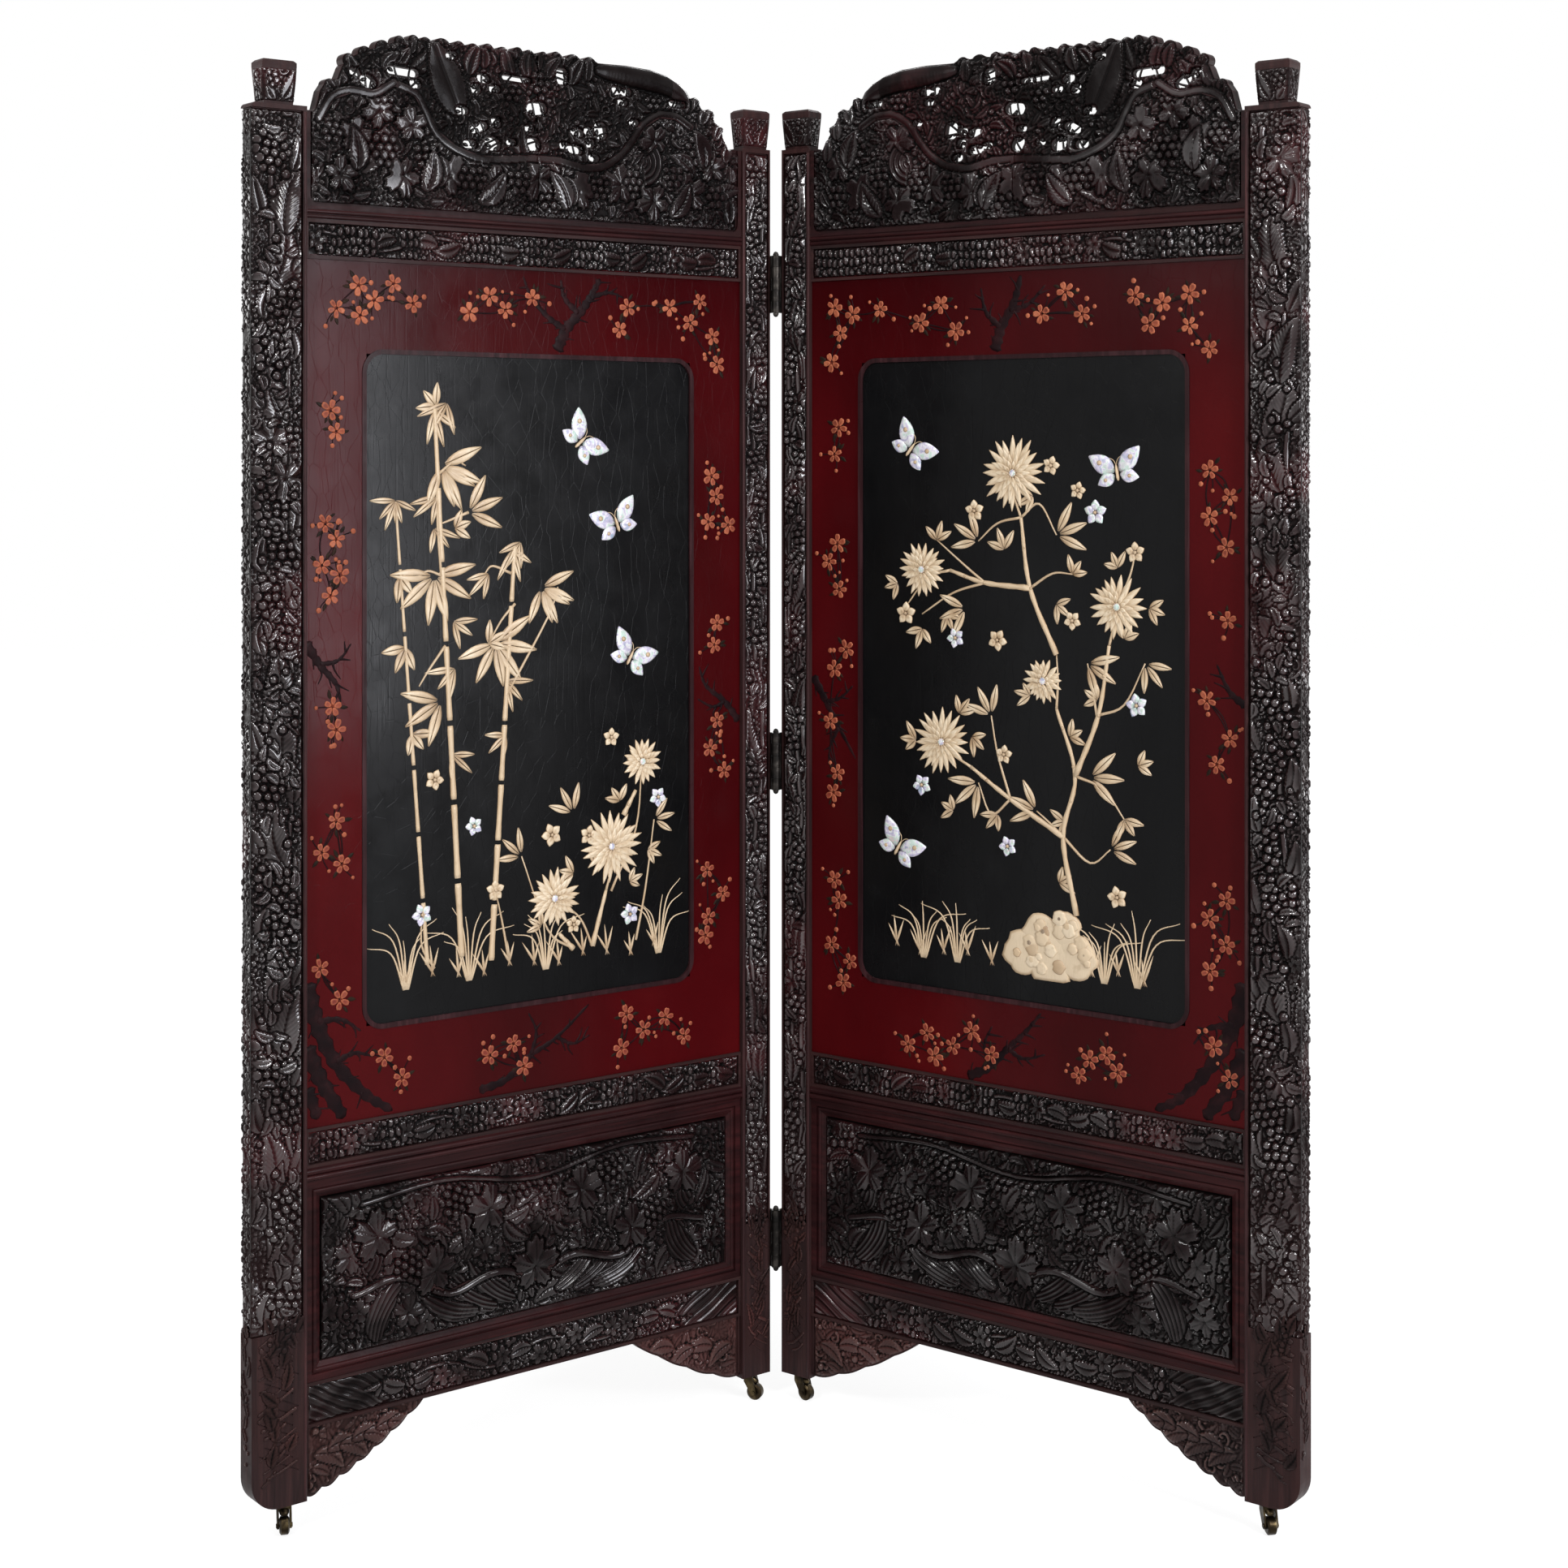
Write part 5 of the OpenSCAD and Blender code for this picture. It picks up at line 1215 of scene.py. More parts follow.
def fillet_strips(side):
    """The thin rounded line along each post, beside the panel."""
    count = 90
    for name, x in (("outer", OUTER_X + 2.2), ("inner", INNER_X - 2.2)):
        drawing = Drawing()
        wobble = np.random.default_rng(7).uniform(-0.06, 0.06, count)
        levels = np.linspace(FOOT_Z + 2, CARVED_TO, count)
        drawing.tube([(x, z) for z in levels], 1.7 + wobble, FACE_Y, 0.5, 10)
        drawn_piece(f"{name}_fillet", side, drawing, MATERIALS[side]["strip"])


# Each ring of a hood: its level, how far it lies behind the stem, its half length and half width
HOOD_RINGS = [
    (32.6, 0.5, 5.5, 5.6), (30.5, 1.5, 7.2, 6.2), (28.0, 3.0, 8.6, 6.3), (25.5, 5.0, 8.0, 6.0),
    (23.6, 6.8, 5.6, 4.8), (22.7, 8.0, 2.6, 2.6),
]


def caster_hoods(side):
    """The round cap over each wheel, between the arms of its fork."""
    sides = 20
    for name, x in CASTERS.items():
        points = []
        for z, middle, half, wide in HOOD_RINGS:
            for i in range(sides):
                angle = CIRCLE * i / sides
                a, b = middle + half * math.cos(angle), wide * math.sin(angle)
                a, b = rotated(a, b, math.radians(CASTER_TURNS[side][name]))
                points.append((x + a, POST_MIDDLE_Y + b, z))
        faces = tube_faces(len(HOOD_RINGS), sides)
        body = f"{side}_{name}_swivel"
        make_piece(f"{side}_{name}_hood", side, points, faces, BRASS, body=body)


# Blossom sprays on the red border, in millimetres of the panel

# The middle of each blossom
BLOSSOMS = {
    "left": [
        (644, 1530), (675, 1500), (622, 1512), (595, 1534), (567, 1510), (642, 1492), (485, 1502),
        (455, 1524), (431, 1507), (390, 1524), (240, 1517), (253, 1487), (171, 1520), (120, 1530),
        (137, 1500), (99, 1482), (91, 1444), (683, 1374), (675, 1347), (690, 1234), (675, 1214),
        (695, 1182), (670, 1170), (683, 1144), (680, 1007), (675, 978), (675, 865), (695, 828),
        (667, 811), (697, 685), (670, 643), (101, 1290), (93, 1262), (106, 1227), (72, 1222), (91, 1087),
        (96, 1057), (91, 953), (103, 915), (79, 883), (108, 748), (81, 713), (106, 683), (111, 658),
        (608, 563), (583, 533), (455, 543), (419, 553), (403, 521), (242, 568), (214, 543), (178, 555),
        (250, 523), (147, 525),
    ],
    "right": [
        (91, 1522), (122, 1512), (101, 1487), (168, 1517), (86, 1447), (234, 1497), (267, 1520),
        (291, 1484), (424, 1502), (460, 1530), (485, 1500), (562, 1520), (601, 1510), (639, 1520),
        (583, 1484), (639, 1480), (667, 1450), (98, 1357), (91, 1320), (96, 1197), (81, 1172), (99, 1134),
        (111, 1052), (91, 1024), (84, 951), (96, 881), (89, 853), (91, 733), (99, 705), (86, 643),
        (117, 623), (106, 593), (667, 1300), (695, 1267), (667, 1242), (690, 1204), (692, 1114),
        (663, 1014), (695, 968), (677, 935), (690, 768), (667, 743), (690, 713), (667, 678), (673, 585),
        (695, 548), (214, 523), (245, 543), (257, 513), (286, 531), (316, 555), (347, 528), (496, 543),
        (521, 553), (480, 521), (537, 533),
    ],
}
# Each branch: its line, then its radius at the start and at the end
TRUNKS = {
    "left": [
        ([(352, 1456), (338, 1484), (312, 1512), (296, 1534), (284, 1554)], 9, 4),
        ([(318, 1506), (340, 1526), (346, 1550)], 5, 2),
        ([(338, 1484), (366, 1500), (392, 1526), (404, 1552)], 5, 1.6),
        ([(300, 1528), (270, 1536), (246, 1530)], 4, 1.2),
        ([(716, 1088), (698, 1060), (676, 1036), (668, 1010)], 7, 1.6),
        ([(698, 1060), (672, 1064), (654, 1084)], 3.6, 1.2),
        ([(716, 668), (702, 620), (676, 566), (634, 520), (596, 494)], 13, 5),
        ([(716, 590), (694, 544), (664, 496)], 12, 8), ([(702, 620), (668, 618), (640, 600)], 5, 1.4),
        ([(676, 566), (650, 574), (622, 566)], 5, 1.2), ([(714, 540), (700, 500)], 9, 7),
        ([(54, 950), (78, 978), (110, 1002), (122, 1030)], 6, 1.4),
        ([(78, 978), (98, 972), (124, 984)], 3.4, 1.2),
        ([(470, 500), (430, 508), (392, 534), (352, 552), (300, 590)], 6, 1.8),
        ([(392, 534), (384, 564), (396, 590)], 3.4, 1.2),
        ([(352, 552), (326, 540), (300, 548)], 3.0, 1.0),
    ],
    "right": [
        ([(352, 1456), (362, 1486), (382, 1520), (392, 1554)], 9, 4),
        ([(362, 1486), (338, 1508), (330, 1540)], 5, 1.6),
        ([(374, 1508), (404, 1516), (430, 1540)], 4.5, 1.4),
        ([(54, 1012), (76, 978), (98, 944), (128, 900)], 7, 1.6),
        ([(76, 978), (100, 984), (122, 1002)], 3.6, 1.2), ([(98, 944), (84, 918), (80, 890)], 3.4, 1.2),
        ([(716, 668), (700, 616), (668, 560), (626, 514), (590, 494)], 13, 5),
        ([(716, 586), (692, 538), (660, 494)], 12, 8), ([(700, 616), (664, 606), (644, 584)], 5, 1.4),
        ([(714, 536), (698, 498)], 9, 7),
        ([(310, 494), (344, 512), (372, 540), (400, 566), (424, 594)], 7, 2),
        ([(372, 540), (396, 530), (430, 540)], 4, 1.2), ([(344, 512), (336, 540), (348, 566)], 3.6, 1.2),
        ([(716, 1010), (694, 1026), (676, 1060)], 6, 1.4),
    ],
}


def blossom(petals, hearts, rng, x, z, r, turn):
    """Five round petals set apart about a dark heart with a ring of knobs."""
    hearts.pillow(disc(x, z, r * 0.36), BORDER_Y, ((1.0, 0.35), (0.6, 0.6)))
    for m in range(5):
        angle = turn + m * CIRCLE / 5
        long, wide = r * rng.uniform(0.38, 0.46), r * rng.uniform(0.24, 0.31)
        ring = []
        for k in range(14):
            a = CIRCLE * k / 14
            along = r * 0.57 + long * math.cos(a) * (0.86 if k == 0 else 1.0)
            u, v = rotated(along, wide * math.sin(a) * (1.0 + 0.22 * math.cos(a)), angle)
            ring.append((x + u, z + v))
        petals.pillow(ring, BORDER_Y, ((1.0, 0.5), (0.86, 1.15), (0.6, 1.25), (0.3, 0.95)))
        for swing, away in ((-0.3, 0.34), (0.3, 0.27)):
            knob = disc(*stepped(x, z, r * away, angle + swing), 0.75, 7)
            petals.pillow(knob, BORDER_Y, ((1.0, 1.0), (0.6, 1.5)))


def on_border(x, z, margin=4.0):
    """Whether a point lies on the red boards, clear of the bead."""
    if not (INNER_X + margin < x < OUTER_X - margin and FIELD_Z + margin < z < UPPER_RAIL_Z - margin):
        return False
    between = INNER_X + BORDER_W - margin < x < OUTER_X - BORDER_W + margin
    return not (between and FIELD_Z + BORDER_H - margin < z < UPPER_RAIL_Z - BORDER_H + margin)


def add_buds(flowers, twigs, rng, x, z, spots):
    """Up to three buds beside a blossom, each on a thin twig."""
    for _ in range(rng.integers(1, 4)):
        turn, reach = rng.uniform(0, SPIN), rng.uniform(17, 27)
        bx, bz = stepped(x, z, reach, turn)
        if on_border(bx, bz, 5.0) and all(math.hypot(bx - px, bz - pz) > 15 for px, pz in spots):
            rises = ((1.0, 0.5), (0.75, 1.3), (0.35, 1.6))
            flowers.pillow(disc(bx, bz, rng.uniform(2.2, 3.6), 10), BORDER_Y, rises)
            bend = ((x + bx) / 2 + 2, (z + bz) / 2)
            twigs.line([(x, z), bend, (bx, bz)], 0.8, 0.8, 3, BORDER_Y - 0.1, 0.6, 6)


def add_sprig_leaves(leaves, rng, x, z):
    """Up to three small leaves that stand out from behind a blossom."""
    for _ in range(3):
        angle = rng.uniform(0, SPIN)
        foot = stepped(x, z, 10, angle)
        size = rng.uniform(8, 13)
        if on_border(*stepped(*foot, size, angle), 3.0):
            outline = leaf_outline(*foot, size, size * 0.42, angle + rng.uniform(-0.5, 0.5))
            leaves.pillow(outline, BORDER_Y, ((1.0, 0.25), (0.8, 0.6), (0.35, 0.75)))


def join_to_nearest(twigs, rng, x, z, spots):
    """Twigs to the two nearest blossoms, where these are near enough."""
    for px, pz in sorted(spots, key=lambda p: math.hypot(p[0] - x, p[1] - z))[1:3]:
        mx, mz = (x + px) / 2 + rng.uniform(-6, 6), (z + pz) / 2 + rng.uniform(-6, 6)
        if math.hypot(px - x, pz - z) < 75 and on_border(mx, mz):
            twigs.line([(x, z), (mx, mz), (px, pz)], 1.0, 1.0, 5, BORDER_Y - 0.1, 0.6, 6)


def add_trunk(twigs, rng, points, first, last):
    """A knotty branch with side twigs."""
    line = smooth_path(points, 9)
    size = np.linspace(first, last, len(line)) * (1 + 0.2 * np.sin(np.arange(len(line)) * 1.9))
    size[0] *= 0.6
    size[-1] *= 0.4
    twigs.tube(line, size, BORDER_Y + 0.15, min(0.5, 1.1 / first), 12)
    for k in range(2, len(line) - 2, 4):
        x, z = line[k]
        angle = math.atan2(*(line[k + 1] - line[k])[::-1]) + rng.choice([-1, 1]) * rng.uniform(0.5, 1.3)
        tip = stepped(x, z, rng.uniform(9, 24), angle)
        if on_border(*tip):
            bend = ((x + tip[0]) / 2 + rng.uniform(-3, 3), (z + tip[1]) / 2)
            twigs.line([line[k], bend, tip], 1.9, 0.6, 4, BORDER_Y, 0.4, 7)


def spray_pieces(side, seed):
    rng = np.random.default_rng(seed)
    flowers, hearts, twigs, leaves = Drawing(), Drawing(), Drawing(), Drawing()
    spots = BLOSSOMS[side]
    for x, z in spots:
        turn, r = rng.uniform(0, SPIN), rng.uniform(12.0, 14.5)
        blossom(flowers, hearts, rng, x, z, r, turn)
        add_buds(flowers, twigs, rng, x, z, spots)
        add_sprig_leaves(leaves, rng, x, z)
        join_to_nearest(twigs, rng, x, z, spots)
    for trunk in TRUNKS[side]:
        add_trunk(twigs, rng, *trunk)
    for name, drawing, material in (
        ("blossoms", flowers, BLOSSOM), ("blossom_hearts", hearts, BLOSSOM_HEART),
        ("blossom_branches", twigs, BRANCH), ("blossom_leaves", leaves, SPRIG_LEAF),
    ):
        drawn_piece(name, side, drawing, material)


# Bone and mother-of-pearl on the black panel, in millimetres from the low middle of its picture

# Each bloom: its place, its radius and how full it is
BLOOMS = {
    "right": [
        (-6, 690, 50, 14), (-150, 560, 38, 12), (150, 520, 42, 12), (-118, 330, 46, 14),
        (40, 420, 30, 10),
    ],
    "left": [(-120, 190, 50, 14), (-30, 130, 40, 12), (-170, 300, 32, 10)],
}
# Each spray of three leaves: its place, its turn in degrees and the length of a leaf
SPRAYS = {
    "right": [
        (60, 610, 20, 44), (-60, 600, 150, 40), (-80, 510, 200, 40), (106, 446, -30, 44),
        (190, 450, -50, 34), (-40, 370, 120, 38), (-60, 280, 220, 44), (110, 300, 0, 46),
        (30, 250, 160, 40), (140, 210, 20, 36),
    ],
    "left": [
        (140, 700, 200, 60), (140, 700, 250, 52), (150, 560, -40, 60), (150, 560, 210, 58),
        (100, 640, 160, 50), (60, 470, 190, 60), (60, 470, -60, 54), (140, 400, -30, 56),
        (-10, 540, 200, 50), (-10, 540, 250, 46), (-60, 240, 60, 36), (-190, 220, 170, 30),
        (20, 190, 40, 34),
    ],
}
INLAY_BRANCHES = {
    "right": [
        [(90, 120), (70, 220), (88, 300), (60, 385)], [(88, 300), (122, 380), (138, 470)],
        [(60, 455), (20, 540), (6, 632)], [(20, 540), (-50, 545), (-105, 560)],
        [(70, 220), (-10, 262), (-72, 300)],
    ],
    "left": [[(-90, 60), (-112, 132)], [(-60, 60), (-38, 82)], [(-140, 230), (-160, 262)]],
}
# Each stalk: its foot and its tip
STALKS = [[(110, 70), (150, 780)], [(66, 60), (30, 600)], [(160, 66), (206, 660)]]
# Each butterfly: its place and its turn in degrees
BUTTERFLIES = {
    "right": [(150, 690, 100), (-170, 720, 50), (-190, 180, 60)],
    "left": [(-130, 620, 70), (-150, 440, 120), (-70, 730, 140)],
}
# Each lump of the rock: its place and its radius
ROCK_LUMPS = [(10, 64, 30), (50, 58, 36), (90, 66, 30), (36, 92, 26), (74, 100, 24)]
# Each small flower: its place and its radius
SMALL_FLOWERS = {
    "right": [
        (118, 640, 17), (92, 668, 12), (-66, 640, 15), (-96, 470, 14), (-176, 500, 16), (176, 590, 14),
        (178, 396, 16), (84, 500, 13), (-30, 470, 15), (-150, 270, 15), (-20, 320, 13), (150, 150, 15),
        (-14, 200, 14), (52, 700, 13),
    ],
    "left": [
        (-150, 96, 15), (-84, 208, 14), (-26, 214, 16), (-196, 250, 14), (-120, 336, 13), (60, 150, 14),
        (168, 130, 15), (-60, 92, 12), (150, 300, 14), (92, 236, 13),
    ],
}
# Each small spray: as a spray
SMALL_SPRAYS = {
    "right": [
        (84, 560, 60, 26), (-20, 590, 110, 28), (-126, 600, 80, 26), (-190, 540, 200, 24),
        (24, 660, 200, 26), (160, 480, 70, 28), (196, 520, -20, 26), (80, 350, 30, 26),
        (120, 400, 150, 26), (-90, 370, 60, 26), (-160, 330, 170, 28), (-70, 340, -40, 26),
        (20, 400, 170, 24), (64, 160, 30, 26), (72, 240, 200, 24), (-100, 240, 160, 26),
        (160, 250, -60, 28), (180, 320, 20, 26), (-150, 480, 250, 28), (-110, 500, -60, 24),
        (60, 520, -30, 24), (150, 570, 110, 24), (-30, 240, 230, 26),
    ],
    "left": [
        (146, 660, -50, 42), (150, 620, 230, 40), (122, 500, 215, 42), (120, 440, -45, 44),
        (70, 560, -50, 40), (44, 420, 215, 42), (44, 350, -40, 40), (124, 330, 220, 40),
        (-96, 168, 120, 24), (-134, 250, 60, 26), (-60, 160, 20, 26), (-180, 180, 200, 24),
        (-10, 96, 30, 22), (-150, 140, 160, 22), (132, 780, -70, 44), (150, 770, 245, 46),
        (34, 590, 250, 42), (22, 600, -60, 40), (206, 656, -50, 36), (206, 656, 240, 38),
        (200, 560, 230, 34), (192, 470, -60, 34), (182, 360, 235, 32), (148, 776, 40, 30),
        (120, 620, 160, 30), (70, 470, 150, 30),
    ],
}
TWIGS = {
    "right": [
        [(60, 385), (62, 420), (60, 455)], [(6, 632), (-4, 660), (-6, 690)],
        [(138, 470), (146, 500), (150, 520)], [(20, 540), (54, 560), (84, 560)],
        [(-50, 545), (-80, 566), (-126, 600)], [(-50, 545), (-100, 530), (-150, 500)],
        [(122, 380), (160, 396), (190, 450)], [(88, 300), (130, 286), (160, 250)],
        [(70, 220), (110, 190), (140, 210)], [(-10, 262), (-40, 240), (-60, 280)],
        [(-72, 300), (-104, 316), (-118, 330)], [(6, 632), (34, 650), (60, 610)],
        [(6, 632), (-30, 624), (-60, 600)], [(120, 380), (112, 420), (106, 446)],
        [(-10, 262), (-30, 320), (-40, 370)], [(150, 520), (168, 560), (176, 590)],
        [(-105, 560), (-140, 550), (-176, 510)], [(70, 220), (50, 236), (30, 250)],
    ],
    "left": [
        [(140, 560), (146, 640), (148, 780)], [(143, 690), (120, 706), (104, 700)],
        [(140, 560), (160, 566), (178, 556)], [(134, 470), (158, 440), (172, 420)],
        [(44, 400), (-20, 500), (-36, 540)], [(30, 520), (50, 500), (70, 470)],
        [(-112, 132), (-120, 160), (-120, 190)], [(-90, 60), (-70, 100), (-34, 126)],
        [(-120, 130), (-160, 210), (-170, 300)], [(-60, 60), (-20, 90), (20, 190)],
        [(40, 60), (50, 110), (60, 150)], [(150, 60), (168, 90), (168, 130)],
        [(-160, 60), (-176, 130), (-190, 220)], [(100, 640), (128, 630), (140, 626)],
        [(36, 560), (64, 570), (76, 560)],
    ],
}
# Each fan of grass: where it stands and its height
GRASS = {
    "right": [(-150, 120), (-96, 96), (128, 104), (176, 130)],
    "left": [(-200, 120), (-20, 104), (96, 124), (188, 112)],
}
# Each ring of petals of a bloom: its radius as a share, where its petals start and how high they lie
TIERS = ((1.0, 9.0, 0.0), (0.8, 7.0, 0.4), (0.58, 5.0, 0.8), (0.38, 4.0, 1.2))


def on_picture(x, h):
    return MIDDLE_X + x, PICTURE_Z + h


class Inlay:
    """The bone and shell of one picture."""

    def __init__(self, seed):
        self.rng = np.random.default_rng(seed)
        self.bone, self.shell = Drawing(), Drawing()

    def petal(self, drawing, x, h, length, width, turn, lift=0.0, n=8, tone=0.85):
        spot = on_picture(x, h)
        rises = ((1.0, 1.2 + lift), (0.8, 1.9 + lift), (0.45, 2.3 + lift), (0.15, 2.0 + lift))
        drawing.pillow(leaf_outline(*spot, length, width, turn, n), PICTURE_Y + 0.3, rises, tone, spot)

    def leaf(self, x, h, length, width, turn, lift=0.0, tone=0.8):
        """Two halves that meet in a groove down the middle."""
        t = np.linspace(0.02, 0.98, 8)
        w = leaf_width(t, width)
        for hand in (-1, 1):
            a = np.concatenate([t, t[::-1]]) * length
            b = np.concatenate([np.full(8, 0.3 * hand), (w[::-1] + 0.3) * hand])
            ring = np.stack(rotated(a, b, turn), 1) + on_picture(x, h)
            rises = ((1.0, 1.1 + lift), (0.7, 1.9 + lift), (0.3, 2.0 + lift))
            self.bone.pillow(ring[::hand], PICTURE_Y + 0.3, rises, tone, on_picture(x, h))

    def knob(self, drawing, x, h, r, sides, rises, *tone):
        drawing.pillow(disc(*on_picture(x, h), r, sides), PICTURE_Y, rises, *tone)

    def bloom(self, x, h, r, count):
        """Rings of petals about a shell button with knobs."""
        for tier, (share, start, lift) in enumerate(TIERS):
            number = count + 6 - 3 * tier
            width = 1.178 * math.pi * r * share / number
            for i in range(number):
                turn = CIRCLE * (i + 0.5 * tier) / number + self.rng.uniform(-0.07, 0.07)
                spot = stepped(x, h, start, turn)
                long = (r * share - start) * self.rng.uniform(0.88, 1.06)
                self.petal(self.bone, *spot, long, width, turn, lift, 7, self.rng.uniform(0.7, 1.0))
        self.knob(self.shell, x, h, 5, 14, ((1.0, 2.6), (0.8, 3.1), (0.4, 3.4)))
        for i in range(9):
            spot = stepped(x, h, 4.6, i * CIRCLE / 9)
            self.knob(self.bone, *spot, 1.1, 6, ((1.0, 3.0), (0.5, 3.6)), 0.7)

    def small_flower(self, drawing, x, h, r):
        spin = self.rng.uniform(0, SPIN)
        for i in range(5):
            turn = spin + i * CIRCLE / 5
            spot = stepped(x, h, 2, turn)
            self.petal(drawing, *spot, r - 2, r * 0.72, turn, 0.2, 7, self.rng.uniform(0.75, 1.0))
        self.knob(self.bone, x, h, 2.4, 8, ((1.0, 2.5), (0.5, 3.0)), 0.45)

    def twig(self, points):
        self.bone.line([on_picture(*p) for p in points], 2.1, 1.0, 5, PICTURE_Y - 0.1, 0.8, 7, 0.5)

    def small_spray(self, x, h, turn, length):
        """Three slender leaves where they are long, broad ones where they are short."""
        bends, share = ((-34, 6, 44), 0.2) if length > 35 else ((-50, 0, 50), 0.36)
        for bend in bends:
            angle = math.radians(turn + bend + self.rng.uniform(-8, 8))
            long = length * self.rng.uniform(0.8, 1.1)
            self.leaf(x, h, long, length * share, angle, -0.2, self.rng.uniform(0.55, 0.9))

    def grass(self, x, height):
        """Seven blades that fan out."""
        for k in range(7):
            lean = (k - 3) * 0.22 + self.rng.uniform(-0.08, 0.08)
            tall = height * self.rng.uniform(0.55, 1.0)
            middle = on_picture(x + k + lean * tall * 0.35, 38 + tall * 0.6)
            tip = on_picture(x + k + lean * tall, 38 + tall * (0.9 - 0.25 * abs(lean)))
            line = [on_picture(x + k, 38), middle, tip]
            self.bone.line(line, 1.7, 0.5, 6, PICTURE_Y - 0.2, 0.8, 7, 0.65)

    def branch(self, points):
        line = smooth_path([on_picture(*p) for p in points], 7)
        size = np.linspace(3.6, 2.1, len(line)) * (1 + 0.12 * np.sin(np.arange(len(line)) * 2.3))
        self.bone.tube(line, size * 1.15, PICTURE_Y - 0.2, 0.6, 10, 0.62)
        for k in range(3, len(line) - 1, 4):
            knot = (line[k][0] + self.rng.uniform(-2, 2), line[k][1])
            ring = disc(*knot, self.rng.uniform(1.6, 2.6), 8)
            self.bone.pillow(ring, PICTURE_Y, ((1.0, 1.8), (0.5, 2.5)), 0.45)

    def spray(self, x, h, turn, length):
        for bend in (-42, 0, 42):
            angle = math.radians(turn + bend)
            spot = stepped(x, h, 5, angle)
            self.leaf(*spot, length, length * 0.27, angle, 0.0, self.rng.uniform(0.65, 0.95))

    def tuft(self, i, lean):
        """Three short blades at the foot of the picture."""
        h = 44 + 5 * math.sin(math.radians(117 * i))
        for bend in (-0.5, 0.0, 0.4):
            turn = math.radians(lean) + bend + math.pi / 2
            long = 34 * self.rng.uniform(0.8, 1.4)
            self.petal(self.bone, 38 * i + 8 * bend, h, long, 3.6, turn, -0.5, 5, 0.65)

    def butterfly(self, x, h, turn):
        """A body with two wings and a feeler on each side."""
        angle = math.radians(turn)

        def ahead(away, swing=0.0):
            return stepped(x, h, away, angle + swing)

        body = smooth_path([on_picture(*ahead(away)) for away in (-9, 0, 12)], 4)
        self.bone.tube(body, (1.0, 1.8, 2.2, 2.2, 2.0, 2.3, 2.0, 1.5, 0.8), PICTURE_Y - 0.4, 1.1, 8)
        for hand in (-1, 1):
            for swing, length, width in ((52, 44, 24), (108, 28, 18)):
                spin = math.radians(hand * swing)
                self.petal(self.shell, *ahead(4, spin), length, width, angle + spin, 0.0, 9, 1.0)
                spot = ahead(length * 0.66, spin)
                self.knob(self.bone, *spot, width * 0.14, 8, ((1.0, 2.4), (0.5, 2.8)), 0.5)
            feeler = [on_picture(*ahead(away, bend * hand)) for away, bend in ((11, 0), (19, 0.2), (26, 0.5))]
            self.bone.line(feeler, 0.5, 0.5, 4, PICTURE_Y - 0.1, 1.0, 6)

    def stalk(self, foot, tip):
        """Seven lengths that swell at their ends and stand a little apart."""
        foot, rise = np.array(foot, float), np.subtract(tip, foot)
        for i in range(7):
            shares = [(i + 0.93 * t) / 7 for t in (0, 0.06, 0.3, 0.7, 0.94, 1)]
            line = [on_picture(*(foot + rise * share)) for share in shares]
            r = (4.5 if foot[0] < 150 else 3.2) - i * 0.2
            self.bone.tube(line, [r * swell for swell in (1, 1.12, 0.95, 0.95, 1.12, 1)], PICTURE_Y, 0.5, 10)

    def rock(self):
        """Lumps with smaller ones on them, and near-black small lumps between that are painted shade in the
        hollows.
        """
        lumps = [(*lump, 0.75) for lump in ROCK_LUMPS]
        for k in range(26):
            x, h, r = ROCK_LUMPS[k % len(ROCK_LUMPS)]
            turn, away = self.rng.uniform(0, SPIN), self.rng.uniform(0.2, 0.7) * r
            spot = stepped(x, h, away, turn)
            lumps.append((*spot, self.rng.uniform(4, 11), self.rng.uniform(0.3, 0.95)))
            # A near-black lump: painted shade in a hollow.
            if k % 3 == 0:
                lumps.append((*spot, self.rng.uniform(2.5, 4.5), 0.02))
        for number, (x, h, r, tone) in enumerate(lumps):
            ring = []
            for a in np.linspace(0, CIRCLE, 26, endpoint=False):
                reach = r * (1 + 0.12 * math.sin(5 * a + x) + 0.06 * math.sin(9 * a + h))
                ring.append(on_picture(x + reach * math.cos(a), max(31, h + r * math.sin(a))))
            lift = 0.0 if number < len(ROCK_LUMPS) else self.rng.uniform(0.6, 1.5)
            rises = ((1.0, 1.2 + lift), (0.85, 2.0 + lift), (0.5, 2.3 + lift))
            self.bone.pillow(ring, PICTURE_Y, rises, tone)


def inlay_pieces(side, seed):
    inlay = Inlay(seed)
    for row in BLOOMS[side]:
        inlay.bloom(*row)
    for number, row in enumerate(SMALL_FLOWERS[side]):
        inlay.small_flower(inlay.bone if number % 3 else inlay.shell, *row)
    for points in TWIGS[side]:
        inlay.twig(points)
    for row in SMALL_SPRAYS[side]:
        inlay.small_spray(*row)
    for row in GRASS[side]:
        inlay.grass(*row)
    for points in INLAY_BRANCHES[side]:
        inlay.branch(points)
    for row in SPRAYS[side]:
        inlay.spray(*row)
    for i in range(-5, 6):
        inlay.tuft(i, 8 if side == "right" else -6)
    for row in BUTTERFLIES[side]:
        inlay.butterfly(*row)
    if side == "left":
        for row in STALKS:
            inlay.stalk(*row)
    else:
        inlay.rock()
    drawn_piece("bone_relief", side, inlay.bone, BONE, True, f"{side}_bone_inlay")
    drawn_piece("shell_relief", side, inlay.shell, SHELL, True, f"{side}_shell_inlay")


for number, side in enumerate(SIDES):
    post_pieces(side, 11 + number)
    rail_pieces(side, 21 + number)
    panel_pieces(side, 31 + number)
    crest_pieces(side, 41 + number)
    openwork_pieces(side, 45 + number)
    bracket_pieces(side, 51 + number)
    fillet_strips(side)
    caster_hoods(side)
    spray_pieces(side, 61 + number)
    inlay_pieces(side, 71 + number)


# Floor, light and camera


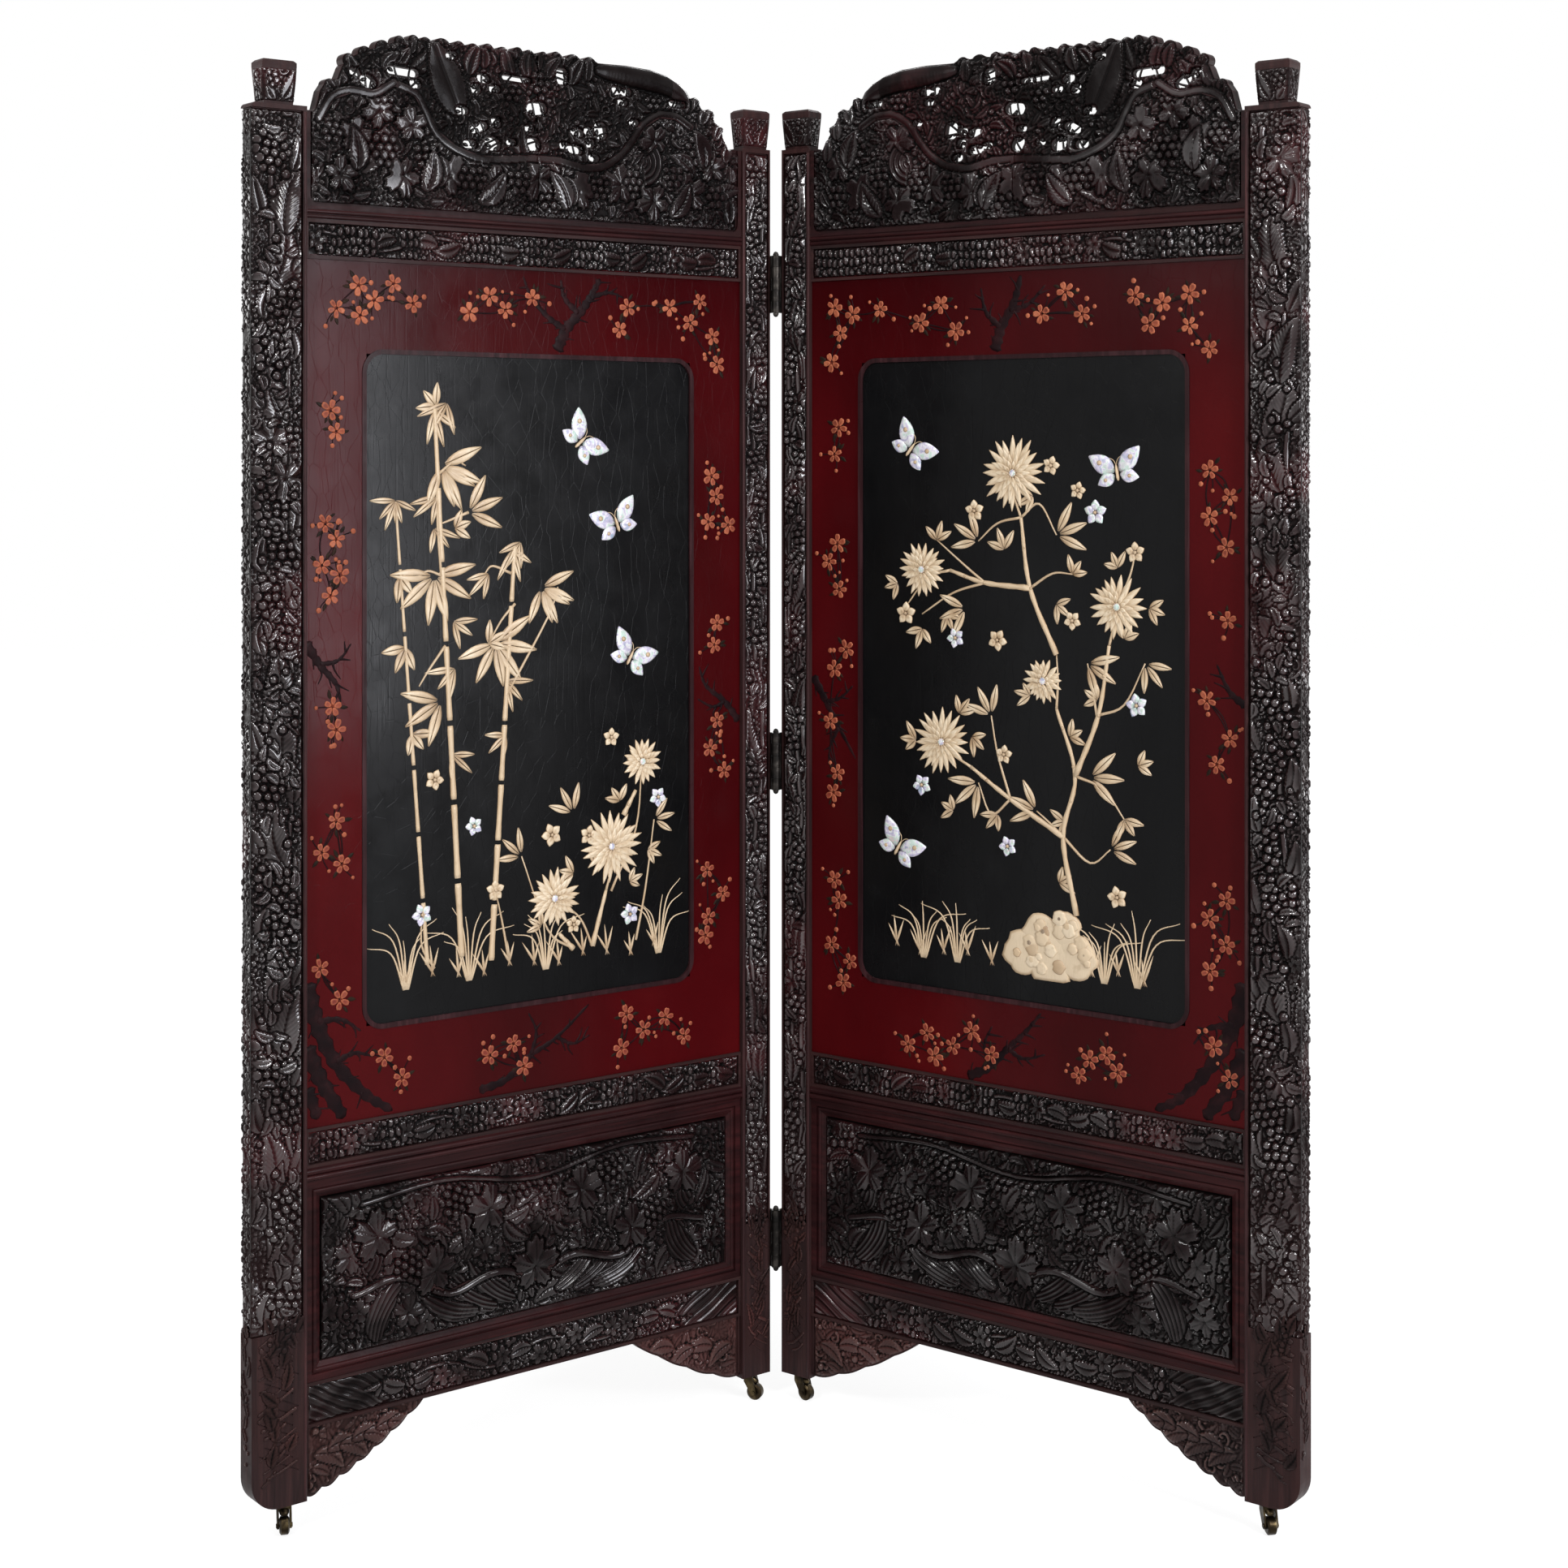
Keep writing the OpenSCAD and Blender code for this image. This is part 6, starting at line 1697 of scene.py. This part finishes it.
def white_for_rays(tree, shader, strength, share=1.0):
    """A shader that is white where camera, mirror or glass rays end on it."""
    path = add_node(tree, "LightPath").outputs
    mirrored = add_node(
        tree, "Math", {0: path["Is Glossy Ray"], 1: path["Is Transmission Ray"]}, operation="MAXIMUM"
    )
    seen = add_node(tree, "Math", {0: mirrored.outputs[0], 1: path["Is Camera Ray"]}, operation="MAXIMUM")
    weight = add_node(tree, "Math", {0: seen.outputs[0], 1: share}, operation="MULTIPLY")
    glow = add_node(tree, "Emission", {"Strength": strength})
    mix = add_node(tree, "MixShader", {"Fac": weight.outputs[0], 1: shader, 2: glow.outputs["Emission"]})
    return mix.outputs["Shader"]


def share_by_distance(tree, near, far, at_near, at_far):
    """Rises from one share to another with the distance over the floor from the middle."""
    place = add_node(tree, "TexCoord").outputs["Object"]
    length = add_node(tree, "VectorMath", {0: place}, operation="LENGTH").outputs["Value"]
    return add_span(tree, length, near, far, at_near, at_far, interpolation_type="SMOOTHSTEP")


world = bpy.data.worlds.new("studio")
world.use_nodes = True
bpy.context.scene.world = world
background = world.node_tree.nodes["Background"]
background.inputs["Color"].default_value = (1, 1, 1, 1)
background.inputs["Strength"].default_value = 0.37
world.node_tree.links.new(
    white_for_rays(world.node_tree, background.outputs["Background"], 1.0),
    world.node_tree.nodes["World Output"].inputs["Surface"],
)

FLOOR_REACH = 14.0
floor_mesh = bpy.data.meshes.new("floor")
floor_corners = [(x * FLOOR_REACH, y * FLOOR_REACH, 0) for x, y in ((-1, -1), (1, -1), (1, 1), (-1, 1))]
floor_mesh.from_pydata(floor_corners, [], [(0, 1, 2, 3)])
floor = bpy.data.objects.new("floor", floor_mesh)
bpy.context.scene.collection.objects.link(floor)
paper = bpy.data.materials.new("floor_paper")
paper.use_nodes = True
paper_tree = paper.node_tree
paper_shader = paper_tree.nodes["Principled BSDF"]
paper_shader.inputs["Base Color"].default_value = (0.86, 0.86, 0.86, 1)
paper_shader.inputs["Roughness"].default_value = 0.9
paper_shader.inputs["Specular IOR Level"].default_value = 0.1
paper_share = share_by_distance(paper_tree, 0.8, 2.6, 0.74, 1.0)
paper_tree.links.new(
    white_for_rays(paper_tree, paper_shader.outputs["BSDF"], 1.08, paper_share),
    paper_tree.nodes["Material Output"].inputs["Surface"],
)
floor_mesh.materials.append(paper)


def lamp(name, spot, aim, size, watts, colour=(1, 1, 1)):
    data = bpy.data.lights.new(name, "AREA")
    data.shape = "RECTANGLE"
    data.size, data.size_y = size
    data.energy = watts
    data.color = colour
    light = bpy.data.objects.new(name, data)
    bpy.context.scene.collection.objects.link(light)
    light.visible_camera = False
    light.location = spot
    ahead = np.array(aim, float) - np.array(spot, float)
    ahead /= np.linalg.norm(ahead)
    light.rotation_euler = (math.acos(-ahead[2]), 0, math.atan2(ahead[1], ahead[0]) - math.pi / 2)


lamp("key", (-2.2, -3.0, 2.9), (0, 0, 1.0), (0.4, 0.5), 82)
lamp("fill", (2.4, -3.0, 2.3), (0, 0, 0.9), (0.4, 0.5), 58)
lamp("right_softbox", (1.66, -1.34, 1.45), (-0.55, -0.15, 1.2), (0.5, 1.5), 38, (0.93, 0.94, 1.0))
lamp("left_softbox", (-1.65, -1.3, 2.1), (0.55, -0.15, 1.5), (0.7, 0.9), 5)
lamp("left_edge", (-1.9, 0.5, 1.2), (-0.65, -0.25, 1.0), (0.4, 1.6), 8)
lamp("right_edge", (1.9, 0.5, 1.2), (0.65, -0.25, 1.0), (0.4, 1.6), 6)
lamp("top", (0, -0.6, 4.0), (0, 0, 1.0), (2.0, 1.0), 34)
lamp("back", (0.6, 3.2, 2.8), (0, 0, 1.0), (1.6, 1.6), 60)

camera_data = bpy.data.cameras.new("camera")
camera_data.sensor_width = 36.0
camera_data.lens = 57.28
camera_data.shift_x = 0.0052
camera_data.shift_y = -0.2065
camera = bpy.data.objects.new("camera", camera_data)
camera.location = (0.0, -3.265, 1.312)
camera.rotation_euler = (math.pi / 2, 0, 0)
bpy.context.scene.collection.objects.link(camera)
bpy.context.scene.camera = camera
bpy.context.scene.view_settings.view_transform = "Standard"
